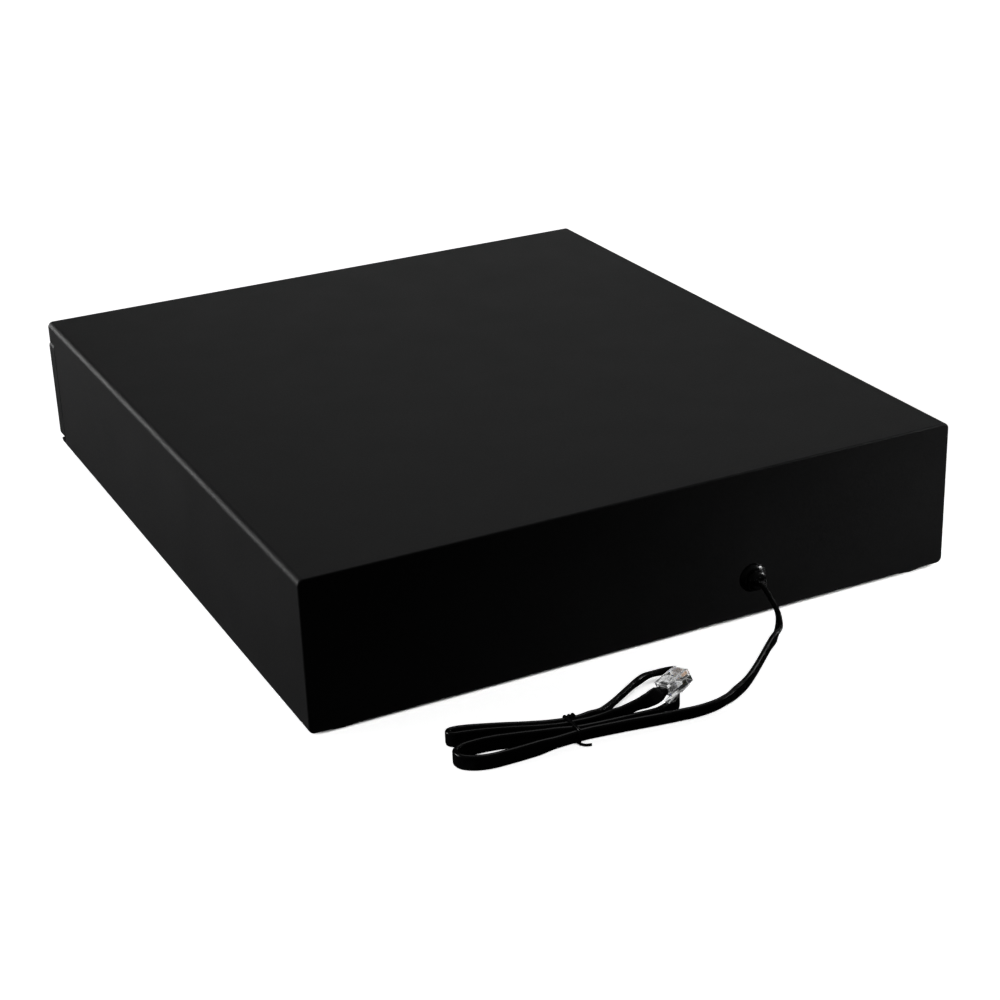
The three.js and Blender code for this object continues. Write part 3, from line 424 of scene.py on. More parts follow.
def make_cord_pvc():
    """Soft black PVC of a flat lead: a blotchy satin skin with small dents and light scuffs."""
    look = Look("lead_pvc_black", (0.0045, 0.0045, 0.005), 0.25)
    skin = look.noise(1.6 * MM, detail=4)
    dents = look.noise(7 * MM, detail=3)
    scuff = look.noise(9 * MM, detail=5)
    look.colour_by(look.spread(scuff, 0, 1, 0.55, 0.85), look.base, (0.016, 0.016, 0.017))
    look.rough_by(look.math("ADD", look.spread(scuff, 0.19, 0.3), look.spread(skin, -0.03, 0.05)))
    look.normal_from(look.bump(skin, 0.03 * MM, 0.3, under=look.bump(dents, 0.3 * MM, 0.35)))
    return look.material


def make_clear():
    """Clear moulding with faint flow marks; its edges glow white, a painted highlight for the studio's
    light that they catch.
    """
    look = Look("clear_polycarbonate", (0.93, 0.94, 0.95), 0.05)
    flow = look.noise(2.2 * MM, detail=3)
    look.colour_by(look.spread(flow, 0, 1), (0.86, 0.87, 0.88), (0.98, 0.98, 0.98))
    look.rough_by(look.spread(flow, 0.03, 0.12))
    look.normal_from(look.bump(flow, 0.05 * MM, 0.35))
    look.shader.inputs["Transmission Weight"].default_value = 0.92
    look.shader.inputs["IOR"].default_value = 1.5
    look.shader.inputs["Emission Color"].default_value = (1, 1, 1, 1)
    # Painted highlight: the edges glow white by emission, as if they caught the studio's light.
    look.link(look.math("MULTIPLY", look.edges(0.45 * MM), 0.45), look.shader.inputs["Emission Strength"])
    return look.material


def make_contact_metal():
    """Thinly plated copper, a little tarnished."""
    look = Look("contact_copper", (0.75, 0.42, 0.2), 0.25, metallic=1.0)
    tarnish = look.noise(0.7 * MM, detail=3)
    look.colour_by(look.spread(tarnish, 0, 1), (0.55, 0.33, 0.22), (0.85, 0.62, 0.45))
    look.rough_by(look.spread(tarnish, 0.18, 0.35))
    look.normal_from(look.bump(tarnish, 0.01 * MM, 0.3))
    return look.material


def make_wire_skin(name, base):
    """The coloured skin of a thin conductor."""
    look = Look(name, base, 0.4)
    skin = look.noise(0.8 * MM, detail=3)
    look.colour_by(look.spread(skin, 0, 1), shade(base, 0.8), shade(base, 1.15))
    look.rough_by(look.spread(skin, 0.33, 0.47))
    look.normal_from(look.bump(skin, 0.01 * MM, 0.3))
    return look.material


def make_coil_wrap():
    """Amber tape wound over the coil: bands round the axis with a glossy skin."""
    look = Look("coil_tape", (0.4, 0.16, 0.035), 0.3)
    bands = look.noise(1.2 * MM, detail=2, vector=look.stretched((1, 0.02, 0.02)))
    look.colour_by(look.spread(bands, 0, 1), shade(look.base, 0.65), shade(look.base, 1.2))
    look.rough_by(look.spread(bands, 0.24, 0.42))
    look.normal_from(look.bump(bands, 0.05 * MM, 0.5))
    return look.material


POWDER = make_powder_coat()
ZINC = make_zinc()
ZINC_ALONG_Y = make_zinc("zinc_plated_rail", streak=(14, 1, 14))
SPRING = make_spring_steel()
CHROME = make_chrome()
BLACK_PLASTIC = make_moulded("black_abs", (0.016, 0.016, 0.017), 0.42)
TILL_PLASTIC = make_moulded("till_plastic", (0.02, 0.02, 0.021), 0.5, 0.9 * MM, 0.06 * MM)
GLOSSY_NYLON = make_moulded("grommet_nylon", (0.007, 0.007, 0.0075), 0.27, 0.7 * MM, 0.015 * MM)
WHITE_NYLON = make_moulded("white_nylon", (0.72, 0.7, 0.64), 0.45)
RUBBER = make_rubber()
CORD_PVC = make_cord_pvc()
CLEAR = make_clear()
CONTACT = make_contact_metal()
COIL_WRAP = make_coil_wrap()


# ---- Camera: from behind, above and the case's +X side ----
def add_camera():
    low, high = corners("top_cover")
    width = high.x - low.x
    centre = Vector(((low.x + high.x) / 2, (low.y + high.y) / 2, 0))
    azimuth = math.radians(154.3)
    elevation = math.radians(24.05)
    roll = math.radians(-2.2)
    distance = 3.364 * width
    shift_right = 0.0534 * width
    shift_up = 0.0018 * width
    back = Vector((
        math.sin(azimuth) * math.cos(elevation),
        -math.cos(azimuth) * math.cos(elevation),
        math.sin(elevation),
    ))
    level = Vector((math.cos(azimuth), math.sin(azimuth), 0))
    tilt = Matrix.Rotation(roll, 3, back)
    right = tilt @ level
    up = back.cross(right)
    data = bpy.data.cameras.new("camera")
    data.lens = 75.6
    data.sensor_width = 36
    data.clip_start = 0.01
    camera = bpy.data.objects.new("camera", data)
    bpy.context.scene.collection.objects.link(camera)
    rotation = Matrix((right, up, back)).transposed().to_4x4()
    place = centre + shift_right * right + shift_up * up + distance * back
    camera.matrix_world = Matrix.Translation(place) @ rotation
    bpy.context.scene.camera = camera


add_camera()

# ---- The flat lead ----
CORD_WIDTH = 7 * MM
CORD_THICKNESS = 2.3 * MM
# Height in millimetres of the middle line where the lead stands upright on the floor.
FLOOR_HEIGHT = 3.7

# Which way the lead's wide side points: across, away from the case, upright, or upright and leaning.
FLAT = (1, 0, 0)
FACING = (0.4, 0.9, 0.15)
EDGE = (0, 0, 1)
TURNING = (-0.05, 0.6, 0.8)
FORWARD = (0, 0.38, 0.92)
FORWARD_SLANTED = (-0.1, 0.13, 0.99)
LEANING = (-0.25, 0.43, 0.87)
FLATTER = (-0.1, 0.75, 0.65)
ROLLING_OVER = (0.1, -0.75, 0.65)
IN_PLUG = (0.1, -0.967, -0.235)

# Where the lead runs, in millimetres, and which way its wide side points there.
LEAD = [
    (-55.6, 196, 21.7, FLAT),
    (-55.6, 198.8, 21.7, FLAT),
    (-55.7, 201.8, 20.8, FACING),
    (-56.2, 205.8, 17.9, FACING),
    (-56.8, 209.8, 14.3, FACING),
    (-56.8, 212.8, 10.9, FACING),
    (-55.8, 215, 8, FACING),
    (-53.6, 217.6, 5.6, TURNING),
    (-50.4, 220, 4.3, FORWARD_SLANTED),
    (-46.6, 222.5, FLOOR_HEIGHT, FORWARD_SLANTED),
    (-39.5, 228.8, FLOOR_HEIGHT, FORWARD_SLANTED),
    (-31.8, 235.8, FLOOR_HEIGHT, FORWARD_SLANTED),
    (-24, 242.6, FLOOR_HEIGHT, FORWARD_SLANTED),
    (-16.5, 248.4, FLOOR_HEIGHT, FORWARD_SLANTED),
    (-8.8, 252.8, FLOOR_HEIGHT, FORWARD_SLANTED),
    (-1.5, 256.2, FLOOR_HEIGHT, FORWARD),
    (4.8, 258, FLOOR_HEIGHT, FORWARD),
    (13.6, 258.6, FLOOR_HEIGHT, FORWARD),
    (22, 257.6, FLOOR_HEIGHT, FORWARD),
    (33, 255.9, FLOOR_HEIGHT, FORWARD),
]
# Plan points of the hank's turns, on the floor: each pass goes through the tie.
NEAR_LOOP = [
    (44, 254, FORWARD), (54, 252.5, FORWARD), (65, 251.1, FORWARD), (77, 251.2, FORWARD),
    (88, 251.6, EDGE), (100, 251.6, EDGE), (109, 251, EDGE), (115.6, 248.6, EDGE),
    (119.6, 244.8, EDGE), (119.8, 240.6, EDGE), (116, 238, EDGE), (110, 237.4, EDGE),
    (101, 238.4, EDGE), (90, 241.4, EDGE), (78, 245, EDGE), (65, 248.1, FORWARD),
]
PLUG_LOOP = [
    (57, 249.3, FORWARD), (49.8, 250.1, FORWARD), (40.6, 250.9, FORWARD), (31, 251.6, FORWARD),
    (24.6, 251, EDGE), (19.4, 249, EDGE), (16, 245, EDGE), (13.2, 238, EDGE), (10.8, 232, EDGE),
    (7.2, 227.8, FLATTER), (5.8, 224.6, FLATTER), (8, 221.8, FLATTER), (13.4, 220.8, FLATTER),
    (22.4, 223, LEANING), (33.2, 229.2, LEANING), (43, 235.2, LEANING), (51, 239.2, LEANING),
    (58, 241, EDGE), (65, 241.4, EDGE),
]
FAR_LOOP = [
    (75, 239, EDGE), (85, 234.9, EDGE), (93, 231.1, EDGE), (101, 227.6, EDGE), (107.6, 225, EDGE),
    (112.2, 223.8, EDGE), (115, 224, EDGE), (116, 225.8, EDGE), (114.4, 227.6, EDGE),
    (110.6, 228.6, EDGE), (103.6, 230.6, EDGE), (92.6, 234.8, EDGE), (80, 240.4, EDGE),
    (72, 243.2, EDGE), (65, 244.3, EDGE),
]
TAIL = [
    (57, 245.6, 4, EDGE),
    (50, 246.8, 5.2, EDGE),
    (44, 247.6, 6.8, FORWARD),
    (38, 248.4, 8.5, FORWARD),
    (33, 249.5, 10, EDGE),
    (29.4, 250.1, 11.6, ROLLING_OVER),
    (26, 249.9, 13, IN_PLUG),
    (22.6, 249.3, 14.2, IN_PLUG),
]


def cord_route():
    """Sampled centre line of the lead and the direction of its wide side at each point."""
    hank = [(x, y, FLOOR_HEIGHT, wide) for x, y, wide in NEAR_LOOP + PLUG_LOOP + FAR_LOOP]
    stops = LEAD + hank + TAIL
    spacing = 1.2
    places = smooth_route([Vector((x, y, z)) * MM for x, y, z, _ in stops], spacing * MM)
    wide = []
    for here, after in zip(stops, stops[1:]):
        steps = max(2, round((Vector(after[:3]) - Vector(here[:3])).length / spacing))
        for i in range(steps):
            ease = (1 - math.cos(math.pi * i / steps)) / 2
            wide.append(Vector(here[3]).lerp(Vector(after[3]), ease))
    wide.append(Vector(stops[-1][3]))
    return places, wide


def add_cord():
    places, wide = cord_route()
    bm = bmesh.new()
    frames = []
    for centre, along, across in zip(places, tangents(places), wide):
        across = (across - across.dot(along) * along).normalized()
        frames.append((centre, across, along.cross(across)))
    sweep(bm, rounded_section(CORD_WIDTH, CORD_THICKNESS, 0.95 * MM, 3), frames)
    cord = finish_bmesh("flat_lead", bm, CORD_PVC)
    soften(cord, 0)
    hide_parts("cord_lead", "cord_hank", "cord_tail")
    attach(cord, "case")
    length = sum((b - a).length for a, b in zip(places, places[1:]))
    return cord, places, length


CORD, CORD_LINE, CORD_LENGTH = add_cord()


# ---- The wire tie round the hank ----
def add_tie():
    """A closed loop of wire, its twisted ends on top of the far side and one end out on the floor."""
    low = corners("cord_tie")[0]
    wire = 1.2 * MM
    near = 253.4 * MM
    far = low.y + wire
    x = 68.2 * MM
    base = low.z + wire / 2
    top = 7.8 * MM
    corner = 1.6 * MM
    corner_steps = 4
    loop = []
    for cy, cz, start in ((near - corner, base + corner, -90), (near - corner, top - corner, 0),
                          (far + corner, top - corner, 90), (far + corner, base + corner, 180)):
        for i in range(corner_steps + 1):
            angle = math.radians(start + 90 * i / corner_steps)
            out = Vector((0, math.cos(angle), math.sin(angle)))
            loop.append((Vector((x, cy, cz)) + corner * out, Vector((1, 0, 0)), out))
    round_wire = rounded_section(wire, wire, 0.49 * wire, 3)
    bm = bmesh.new()
    sweep(bm, round_wire, loop, closed=True)
    # The twist: two strands wound round each other, lying along the far strands.
    start = Vector((x, far + 2.4 * MM, top))
    finish = Vector((x - 4 * MM, far + 2.2 * MM, top))
    along = (finish - start).normalized()
    side = along.cross(Z_AXIS).normalized()
    steps = 28
    turns = 1.1
    for phase in (0, math.pi):
        line = []
        for i in range(steps + 1):
            angle = phase + 2 * math.pi * turns * i / steps
            around = side * math.cos(angle) + Z_AXIS * math.sin(angle)
            line.append(start.lerp(finish, i / steps) + 0.5 * wire * around)
        places = [(p, side, t.cross(side).normalized()) for p, t in zip(line, tangents(line))]
        sweep(bm, round_wire, places)
    # The loose end lies on the floor and runs towards the plug.
    loose = smooth_route([
        Vector((x, near - 0.4 * MM, base)),
        Vector((x - 1.6 * MM, near + 1.6 * MM, base)),
        Vector((x - 4.2 * MM, near + 2.6 * MM, base)),
    ], 0.8 * MM)
    places = [(p, Z_AXIS, t.cross(Z_AXIS).normalized()) for p, t in zip(loose, tangents(loose))]
    sweep(bm, round_wire, places)
    tie = finish_bmesh("wire_tie", bm, CORD_PVC)
    soften(tie, 0)
    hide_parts("cord_tie")
    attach(tie, "case")
    return tie


TIE = add_tie()


# ---- The modular plug ----
PLUG_SIZE = Vector((12.3, 9.65, 6)) * MM
PLUG_PLACE = (
    Matrix.Translation(Vector((19, 249.3, 12.4)) * MM)
    @ turned(11, "Z")
    @ turned(18, "Y")
    @ turned(15, "X")
)
CONTACT_PITCH = 1.02
CONTACTS = 6


def contact_row():
    """Where the contacts stand across the plug, in millimetres."""
    return [(i - (CONTACTS - 1) / 2) * CONTACT_PITCH for i in range(CONTACTS)]


def plug_block(bm, low, high):
    """A box in millimetres in the plug's own axes: -X is the nose, +Z the side of the contacts."""
    block(bm, [v * MM for v in low], [v * MM for v in high], PLUG_PLACE)


def plug_cutter(low, high):
    bm = bmesh.new()
    plug_block(bm, low, high)
    return finish_bmesh("cutter", bm)


def add_plug_body():
    """The clear block with a slot for each contact, two recesses in its top and the cord's channel."""
    half = PLUG_SIZE / 2
    bm = bmesh.new()
    block(bm, (-half.x, -half.y, 0), (half.x, half.y, PLUG_SIZE.z), PLUG_PLACE)
    body = finish_bmesh("plug_body", bm, CLEAR)
    past_top = 6.1
    past_nose = -6.2
    past_back = 6.3
    half_slot = 0.32
    cutters = []
    for y in contact_row():
        cutters.append(plug_cutter((past_nose, y - half_slot, 3.6), (-2.4, y + half_slot, past_top)))
    cutters.append(plug_cutter((-2.1, -3.4, 4.5), (0.2, 3.4, past_top)))
    cutters.append(plug_cutter((1.3, -3.1, 3.6), (4.3, 3.1, past_top)))
    cutters.append(plug_cutter((-1.2, -3.7, 1.6), (past_back, 3.7, 4.3)))
    cut_away(body, cutters)
    soften(body, 0.22 * MM, 2)
    return body


def add_plug_latch():
    """The latch tab: hinged at the nose, it runs back under the body and away from it, and narrows."""
    across = PLUG_PLACE.to_3x3() @ Vector((0, 1, 0))
    thickness = 0.9 * MM
    wide = 3.1
    narrow = 1.7
    # Each station: the distance along the plug, the depth below it and half the tab's width there.
    stations = [
        (-5.9, -0.3, wide), (-5.5, -1, wide), (-4.5, -1.3, wide), (0.2, -1.9, wide),
        (0.9, -2, narrow), (5, -2.6, narrow), (7.3, -3, narrow),
    ]
    line = [PLUG_PLACE @ (Vector((x, 0, z)) * MM) for x, z, _ in stations]
    rings = []
    for point, along, (_, _, half_width) in zip(line, tangents(line), stations):
        rings.append((point, 2 * half_width * MM * across, thickness * along.cross(across).normalized()))
    bm = bmesh.new()
    sweep(bm, rounded_section(1, 1, 0.2, 2), rings)
    latch = finish_bmesh("plug_latch_tab", bm, CLEAR)
    soften(latch, 0)
    return latch


def add_plug_contacts():
    half_width = 0.2
    bm = bmesh.new()
    for y in contact_row():
        plug_block(bm, (-5.9, y - half_width, 3.7), (-2.7, y + half_width, 5.5))
    contacts = finish_bmesh("plug_contacts", bm, CONTACT)
    soften(contacts, 0.12 * MM, 2)
    return contacts


def add_plug_wires():
    """The six conductors that the contacts bite into."""
    colours = [
        ("blue", (0.02, 0.06, 0.4)), ("yellow", (0.75, 0.55, 0.04)), ("green", (0.02, 0.25, 0.05)),
        ("red", (0.5, 0.02, 0.02)), ("black", (0.012, 0.012, 0.012)), ("white", (0.75, 0.75, 0.72)),
    ]
    radius = 0.42 * MM
    length = 4.3 * MM
    end = 0.02 * MM
    wires = []
    for y, (name, base) in zip(contact_row(), colours):
        place = PLUG_PLACE @ Matrix.Translation(Vector((-5.6, y, 2.9)) * MM) @ turned(90, "Y")
        bm = bmesh.new()
        lathe(bm, [(0, 0), (radius, end), (radius, length), (0, length + end)], 16, place)
        wire = finish_bmesh("plug_wire_" + name, bm, make_wire_skin("wire_skin_" + name, base))
        soften(wire, 0)
        wires.append(wire)
    return wires


def add_plug():
    body = add_plug_body()
    parts = [body, add_plug_latch(), add_plug_contacts(), *add_plug_wires()]
    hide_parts("modular_plug")
    for part in parts:
        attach(part, "case")
    return parts


PLUG_PARTS = add_plug()


# ---- The strain relief in the back ----
def add_grommet():
    """A round moulding pressed into the back: a rounded flange, then a short domed body with a slot."""
    low, high = corners("cable_grommet")
    wall = corners("top_cover")[1].y
    centre = Vector(((low.x + high.x) / 2, wall, (low.z + high.z) / 2))
    flange = (high.x - low.x) / 2
    reach = high.y - wall
    depth = wall - low.y
    place = Matrix.Translation(centre) @ turned(-90, "X")
    neck = 4.4 * MM
    body = 5.3 * MM
    dome = 2.4 * MM
    inner_end = 0.2 * MM - depth
    profile = [
        (0, inner_end), (neck - 0.8 * MM, inner_end), (neck, inner_end + 0.8 * MM), (neck, 0.3 * MM),
        (flange - 0.5 * MM, 0.3 * MM), (flange, 0.8 * MM), (flange, 1.5 * MM),
        (flange - 0.35 * MM, 2.2 * MM), (flange - 1 * MM, 2.6 * MM), (body + 0.4 * MM, 2.7 * MM),
        (body, 3.1 * MM),
    ]
    steps = 6
    for i in range(steps + 1):
        angle = math.pi / 2 * i / steps
        profile.append((body - dome * (1 - math.cos(angle)), reach - dome * (1 - math.sin(angle))))
    profile.append((0, reach))
    bm = bmesh.new()
    lathe(bm, profile, 48, place)
    relief = finish_bmesh("strain_relief", bm, GLOSSY_NYLON)
    # A slot for the flat lead in the end face, and a flat on each side of the body.
    slot_width = CORD_WIDTH + 0.4 * MM
    slot_height = CORD_THICKNESS + 0.4 * MM
    slot_depth = 4 * MM
    flat = 4.8 * MM
    past = 1 * MM
    boxes = [(
        (-slot_width / 2, -slot_height / 2, reach - slot_depth),
        (slot_width / 2, slot_height / 2, reach + past),
    )]
    for sign in (-1, 1):
        near, far = sorted((sign * flat, sign * (flat + past)))
        boxes.append(((near, -flange, 3.2 * MM), (far, flange, reach + past)))
    cutters = []
    for cut_low, cut_high in boxes:
        bm = bmesh.new()
        block(bm, cut_low, cut_high, place)
        cutters.append(finish_bmesh("cutter", bm))
    cut_away(relief, cutters)
    soften(relief, 0.15 * MM, 2)
    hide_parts("cable_grommet")
    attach(relief, "case")
    return relief


RELIEF = add_grommet()


# ---- The folded steel cover ----
FEET = ("foot_front_left", "foot_front_right", "foot_rear_left", "foot_rear_right")


def wrapped_box(name, low, high, fold, end, steps=6):
    """A closed box whose four long folds, along Y, are round; its front and back edges are crisper."""
    centre = (low + high) / 2
    half = (high - low) / 2
    levels = []
    for sign in (-1, 1):
        arc = []
        for i in range(steps + 1):
            angle = math.pi / 2 * i / steps
            inset = end * (1 - math.sin(angle))
            arc.append((inset, sign * (half.y - end + end * math.cos(angle))))
        levels += arc if sign < 0 else arc[::-1]
    bm = bmesh.new()
    rings = []
    for inset, y in levels:
        outline = rounded_section(2 * (half.x - inset), 2 * (half.z - inset), fold - inset, steps)
        rings.append([bm.verts.new(centre + Vector((u, y, v))) for u, v in outline])
    for a, b in zip(rings, rings[1:]):
        for i in range(len(a)):
            j = (i + 1) % len(a)
            bm.faces.new((a[i], a[j], b[j], b[i]))
    bm.faces.new(rings[0])
    bm.faces.new(rings[-1])
    return finish_bmesh(name, bm)


def box_cutter(low, high):
    bm = bmesh.new()
    block(bm, low, high)
    return finish_bmesh("cutter", bm)


def round_cutter(radius, height, place, steps):
    bm = bmesh.new()
    lathe(bm, [(0, 0), (radius, 0), (radius, height), (0, height)], steps, place)
    return finish_bmesh("cutter", bm)


def add_cover():
    """The case's steel box: hollow, open round the fascia and within its lower flange, with round holes."""
    low, high = corners("top_cover")
    sheet = 1 * MM
    one = Vector((sheet, sheet, sheet))
    side_fold = 3 * MM
    back_edge = 0.9 * MM
    cover = wrapped_box("folded_cover", low, high, side_fold, back_edge)
    cover.data.materials.append(POWDER)
    hollow = wrapped_box("cutter", low + one, high - one, side_fold - sheet, 0.3 * MM)
    fascia_low, fascia_high = corners("drawer_front")
    gap = 0.8 * MM
    mouth = box_cutter(
        (low.x - sheet, low.y - sheet, fascia_low.z - gap),
        (high.x + sheet, fascia_high.y + gap, fascia_high.z + gap),
    )
    flange = 26 * MM
    pan_bottom = corners("base_pan")[0].z
    underside = box_cutter(
        (low.x + flange, low.y + flange, 0),
        (high.x - flange, high.y - flange, pan_bottom),
    )
    neck = middle("cable_grommet")
    place = Matrix.Translation((neck.x, high.y + sheet, neck.z)) @ turned(90, "X")
    cutters = [hollow, mouth, underside, round_cutter(4.9 * MM, 4 * MM, place, 40)]
    for name in FEET:
        foot = middle(name)
        place = Matrix.Translation((foot.x, foot.y, 0))
        cutters.append(round_cutter(3.3 * MM, pan_bottom, place, 24))
    cut_away(cover, cutters)
    soften(cover, 0)
    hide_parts("top_cover")
    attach(cover, "case")


add_cover()


# ---- Springs ----
def helix(start, along, length, radius, turns, steps=20):
    """The centre line of a coil's wire, round the level line that starts at start."""
    across = Z_AXIS
    side = along.cross(across)
    line = []
    count = int(turns * steps)
    for i in range(count + 1):
        angle = 2 * math.pi * turns * i / count
        offset = across * math.cos(angle) + side * math.sin(angle)
        line.append(start + along * (length * i / count) + offset * radius)
    return line


def add_spring(name, node, line, wire, a, b):
    """A coil spring of the given wire along line, between its ends on body a and body b; it goes with a
    when both are the same body, and otherwise stays fixed where it is built.
    """
    bm = bmesh.new()
    places = []
    for point, along in zip(line, tangents(line)):
        side = along.cross(Z_AXIS).normalized()
        places.append((point, side, along.cross(side).normalized()))
    sweep(bm, rounded_section(2 * wire, 2 * wire, 0.98 * wire, 2), places)
    spring = finish_bmesh(name, bm, SPRING)
    soften(spring, 0)
    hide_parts(node)
    if a == b:
        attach(spring, a)
    else:
        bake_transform(spring)


def add_springs():
    low, high = corners("ejector_spring")
    axis = middle("ejector_spring")
    wire = 0.7 * MM
    radius = (high.x - low.x) / 2 - wire
    start = Vector((axis.x, high.y - wire, axis.z))
    length = high.y - low.y - 2 * wire
    line = helix(start, Vector((0, -1, 0)), length, radius, 6)
    add_spring("ejector_coil_spring", "ejector_spring", line, wire, "case", "ejector")

    low, high = corners("latch_spring")
    axis = middle("latch_spring")
    wire = 0.4 * MM
    radius = (high.z - low.z) / 2 - wire
    start = Vector((high.x - wire, axis.y, axis.z))
    length = high.x - low.x - 2 * wire
    line = helix(start, Vector((-1, 0, 0)), length, radius, 12, 16)
    add_spring("latch_return_spring", "latch_spring", line, wire, "case", "latch")

    for i in (1, 2, 3, 4):
        node = f"clip_spring_{i}"
        low, high = corners(node)
        axis = middle(node)
        wire = 0.4 * MM
        radius = (high.z - low.z) / 2 - wire
        start = Vector((low.x + wire, axis.y, axis.z))
        length = high.x - low.x - 2 * wire
        line = helix(start, Vector((1, 0, 0)), length, radius, 4, 16)
        add_spring(f"clip_torsion_spring_{i}", node, line, wire, "drawer", "drawer")


add_springs()


# ---- Rivets and screws ----
def add_fastener(name, place, head, body, crossed=False):
    """A domed rivet or, crossed, a pan-head screw of head radius head, which stands along its own +Z."""
    bm = bmesh.new()
    height = 0.42 * head
    shank = 0.55 * head
    sunk = 1.2 * MM
    steps = 6
    profile = [(0, -sunk), (shank, -sunk), (shank, 0), (head, 0)]
    for i in range(1, steps):
        angle = math.pi / 2 * i / steps
        profile.append((head * math.cos(angle), height * math.sin(angle)))
    profile.append((0, height))
    lathe(bm, profile, 24, place)
    fastener = finish_bmesh(name, bm, ZINC)
    if crossed:
        reach = 0.6 * head
        half_slot = 0.14 * head
        cutters = []
        for turn in (0, 90):
            bm = bmesh.new()
            spin = place @ turned(turn, "Z")
            block(bm, (-reach, -half_slot, 0.12 * head), (reach, half_slot, head), spin)
            cutters.append(finish_bmesh("cutter", bm))
        cut_away(fastener, cutters)
    soften(fastener, 0)
    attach(fastener, body)


def add_fasteners():
    # Rivets through the drawer's rails into its sides, evenly along the rail.
    web = 1.2 * MM
    level = 21.5 * MM
    first = 0.12
    pitch = 0.25
    for side, sign in (("left", -1), ("right", 1)):
        rail_low, rail_high = corners(f"drawer_rail_{side}")
        outer = sign * (min(abs(rail_low.x), abs(rail_high.x)) + web)
        for i in range(4):
            along = rail_low.y + (rail_high.y - rail_low.y) * (first + pitch * i)
            place = Matrix.Translation((outer, along, level)) @ turned(sign * 90, "Y")
            add_fastener(f"drawer_rail_rivet_{side}_{i + 1}", place, 1.7 * MM, "drawer")
    # Screws that hold the latch bracket and the ejector guide to the base: places in millimetres.
    level = 6.3
    spots = ((-40, 166), (-16, 152), (16, 184), (61, 176), (-87, 172), (-73, 172))
    for i, (x, y) in enumerate(spots):
        place = Matrix.Translation(Vector((x, y, level)) * MM)
        add_fastener(f"bracket_screw_{i + 1}", place, 2.6 * MM, "case", crossed=True)


add_fasteners()


# ---- Finishes of the CAD nodes that stay as they are ----
def dress(material, *names, width=0.25 * MM):
    """Gives CAD nodes a material and rounds their edges by width."""
    for name in names:
        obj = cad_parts[name]
        obj.data.materials.clear()
        obj.data.materials.append(material)
        soften(obj, width)


dress(POWDER, "base_pan", "drawer_pan", width=0.2 * MM)
dress(POWDER, "drawer_front", width=0)
dress(RUBBER, *FEET)
dress(ZINC, "lock_keeper", "latch_bracket", "solenoid_frame", "ejector_guide", "striker", "latch_lever",
      "lock_cam", "lock_nut")
dress(ZINC_ALONG_Y, "case_rail_left", "case_rail_right", "drawer_rail_left", "drawer_rail_right",
      width=0.2 * MM)
dress(SPRING, "case_roller_pin_left", "case_roller_pin_right", "drawer_roller_pin_left",
      "drawer_roller_pin_right", "latch_pivot_pin", "clip_rod", "solenoid_plunger")
dress(SPRING, "switch_lever", width=0.1 * MM)
dress(WHITE_NYLON, "case_roller_left", "case_roller_right", "drawer_roller_left", "drawer_roller_right",
      "ejector_cap")
dress(BLACK_PLASTIC, "micro_switch")
dress(TILL_PLASTIC, "till_tray", "coin_tray", "bill_divider_1", "bill_divider_2", "bill_divider_3",
      width=0.4 * MM)
dress(TILL_PLASTIC, "bill_clip_1", "bill_clip_2", "bill_clip_3", "bill_clip_4")
dress(COIL_WRAP, "solenoid_coil")
dress(CHROME, "lock_housing", "lock_plug")
dress(CORD_PVC, "inner_harness", width=0)


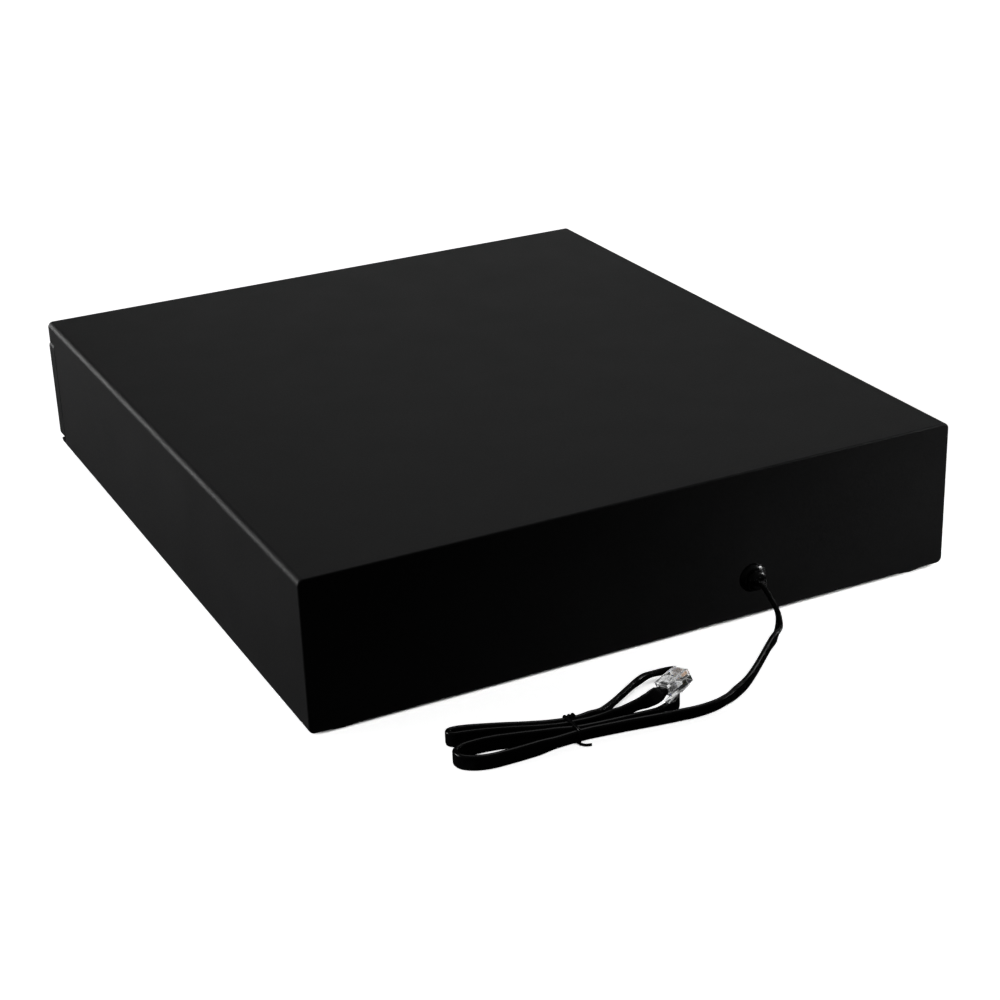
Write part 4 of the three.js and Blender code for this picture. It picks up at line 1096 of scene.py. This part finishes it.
# ---- Floor and light ----
def add_floor():
    """A white sweep. It shines a little for what is seen straight or through clear plastic, and is dim to
    the lights' bounces, so that the black case reflects a dark studio and not a glowing floor."""
    bm = bmesh.new()
    bmesh.ops.create_grid(bm, x_segments=2, y_segments=2, size=14)
    floor = finish_bmesh("floor", bm)
    look = Look("white_sweep", (0.9, 0.9, 0.9), 0.9)
    ray = look.nodes.new("ShaderNodeLightPath").outputs
    seen = look.math("MAXIMUM", ray["Is Camera Ray"], ray["Is Transmission Ray"])
    paper = look.noise(3 * MM, detail=2)
    pale = look.mixed(paper, (0.86, 0.86, 0.86), (0.9, 0.9, 0.9))
    look.colour_by(seen, (0.03, 0.03, 0.03), pale)
    look.rough_by(look.spread(paper, 0.85, 0.95))
    look.shader.inputs["Specular IOR Level"].default_value = 0
    look.shader.inputs["Emission Color"].default_value = (1, 1, 1, 1)
    # Painted shadow: ambient occlusion fades the floor's glow, so the gap under the case is dark; that is
    # only floor from which less than about a sixth of the sky is open.
    occlusion = look.nodes.new("ShaderNodeAmbientOcclusion")
    occlusion.samples = 16
    occlusion.inputs["Distance"].default_value = 30 * MM
    lit = look.spread(occlusion.outputs["AO"], 0, 1, 0.15, 0.2)
    glow = look.math("MULTIPLY", look.math("MULTIPLY", seen, lit), 0.95)
    look.link(glow, look.shader.inputs["Emission Strength"])
    floor.data.materials.append(look.material)


def add_light(name, place, aim, size, power, spread=180, shadow=True):
    """A rectangular lamp at place, turned to aim, of a size in metres and a power in watts."""
    data = bpy.data.lights.new(name, "AREA")
    data.shape = "RECTANGLE"
    data.size, data.size_y = size
    data.energy = power
    data.spread = math.radians(spread)
    data.use_shadow = shadow
    light = bpy.data.objects.new(name, data)
    bpy.context.scene.collection.objects.link(light)
    light.location = place
    light.rotation_euler = (Vector(aim) - Vector(place)).to_track_quat("-Z", "Y").to_euler()


def add_lights():
    world = bpy.data.worlds.new("studio")
    world.use_nodes = True
    background = world.node_tree.nodes["Background"]
    background.inputs["Color"].default_value = (1, 1, 1, 1)
    background.inputs["Strength"].default_value = 0.02
    bpy.context.scene.world = world
    add_light("overhead_softbox", (-0.8, -0.85, 2.5), (0, 0, 0), (1.8, 1.7), 6.5)
    add_light("side_softbox", (2.3, -0.7, 0.55), (0.1, -0.05, 0.03), (1.2, 0.9), 22.5)
    add_light("far_softbox", (-1.0, -2.0, 0.35), (0, -0.1, 0.04), (1.6, 0.4), 1.75)
    add_light("front_softbox", (1.0, -2.2, 0.25), (0, -0.15, 0.04), (1.4, 0.5), 12)
    add_light("left_softbox", (-2.2, -0.6, 0.8), (-0.16, 0, 0.04), (1.0, 0.8), 4.5)
    add_light("back_lamp", (-0.8, 0.5, 0.2), (-0.18, 0.19, 0.03), (0.12, 0.12), 0.054, 20, shadow=False)


add_floor()
add_lights()
bpy.context.scene.view_settings.view_transform = "Standard"
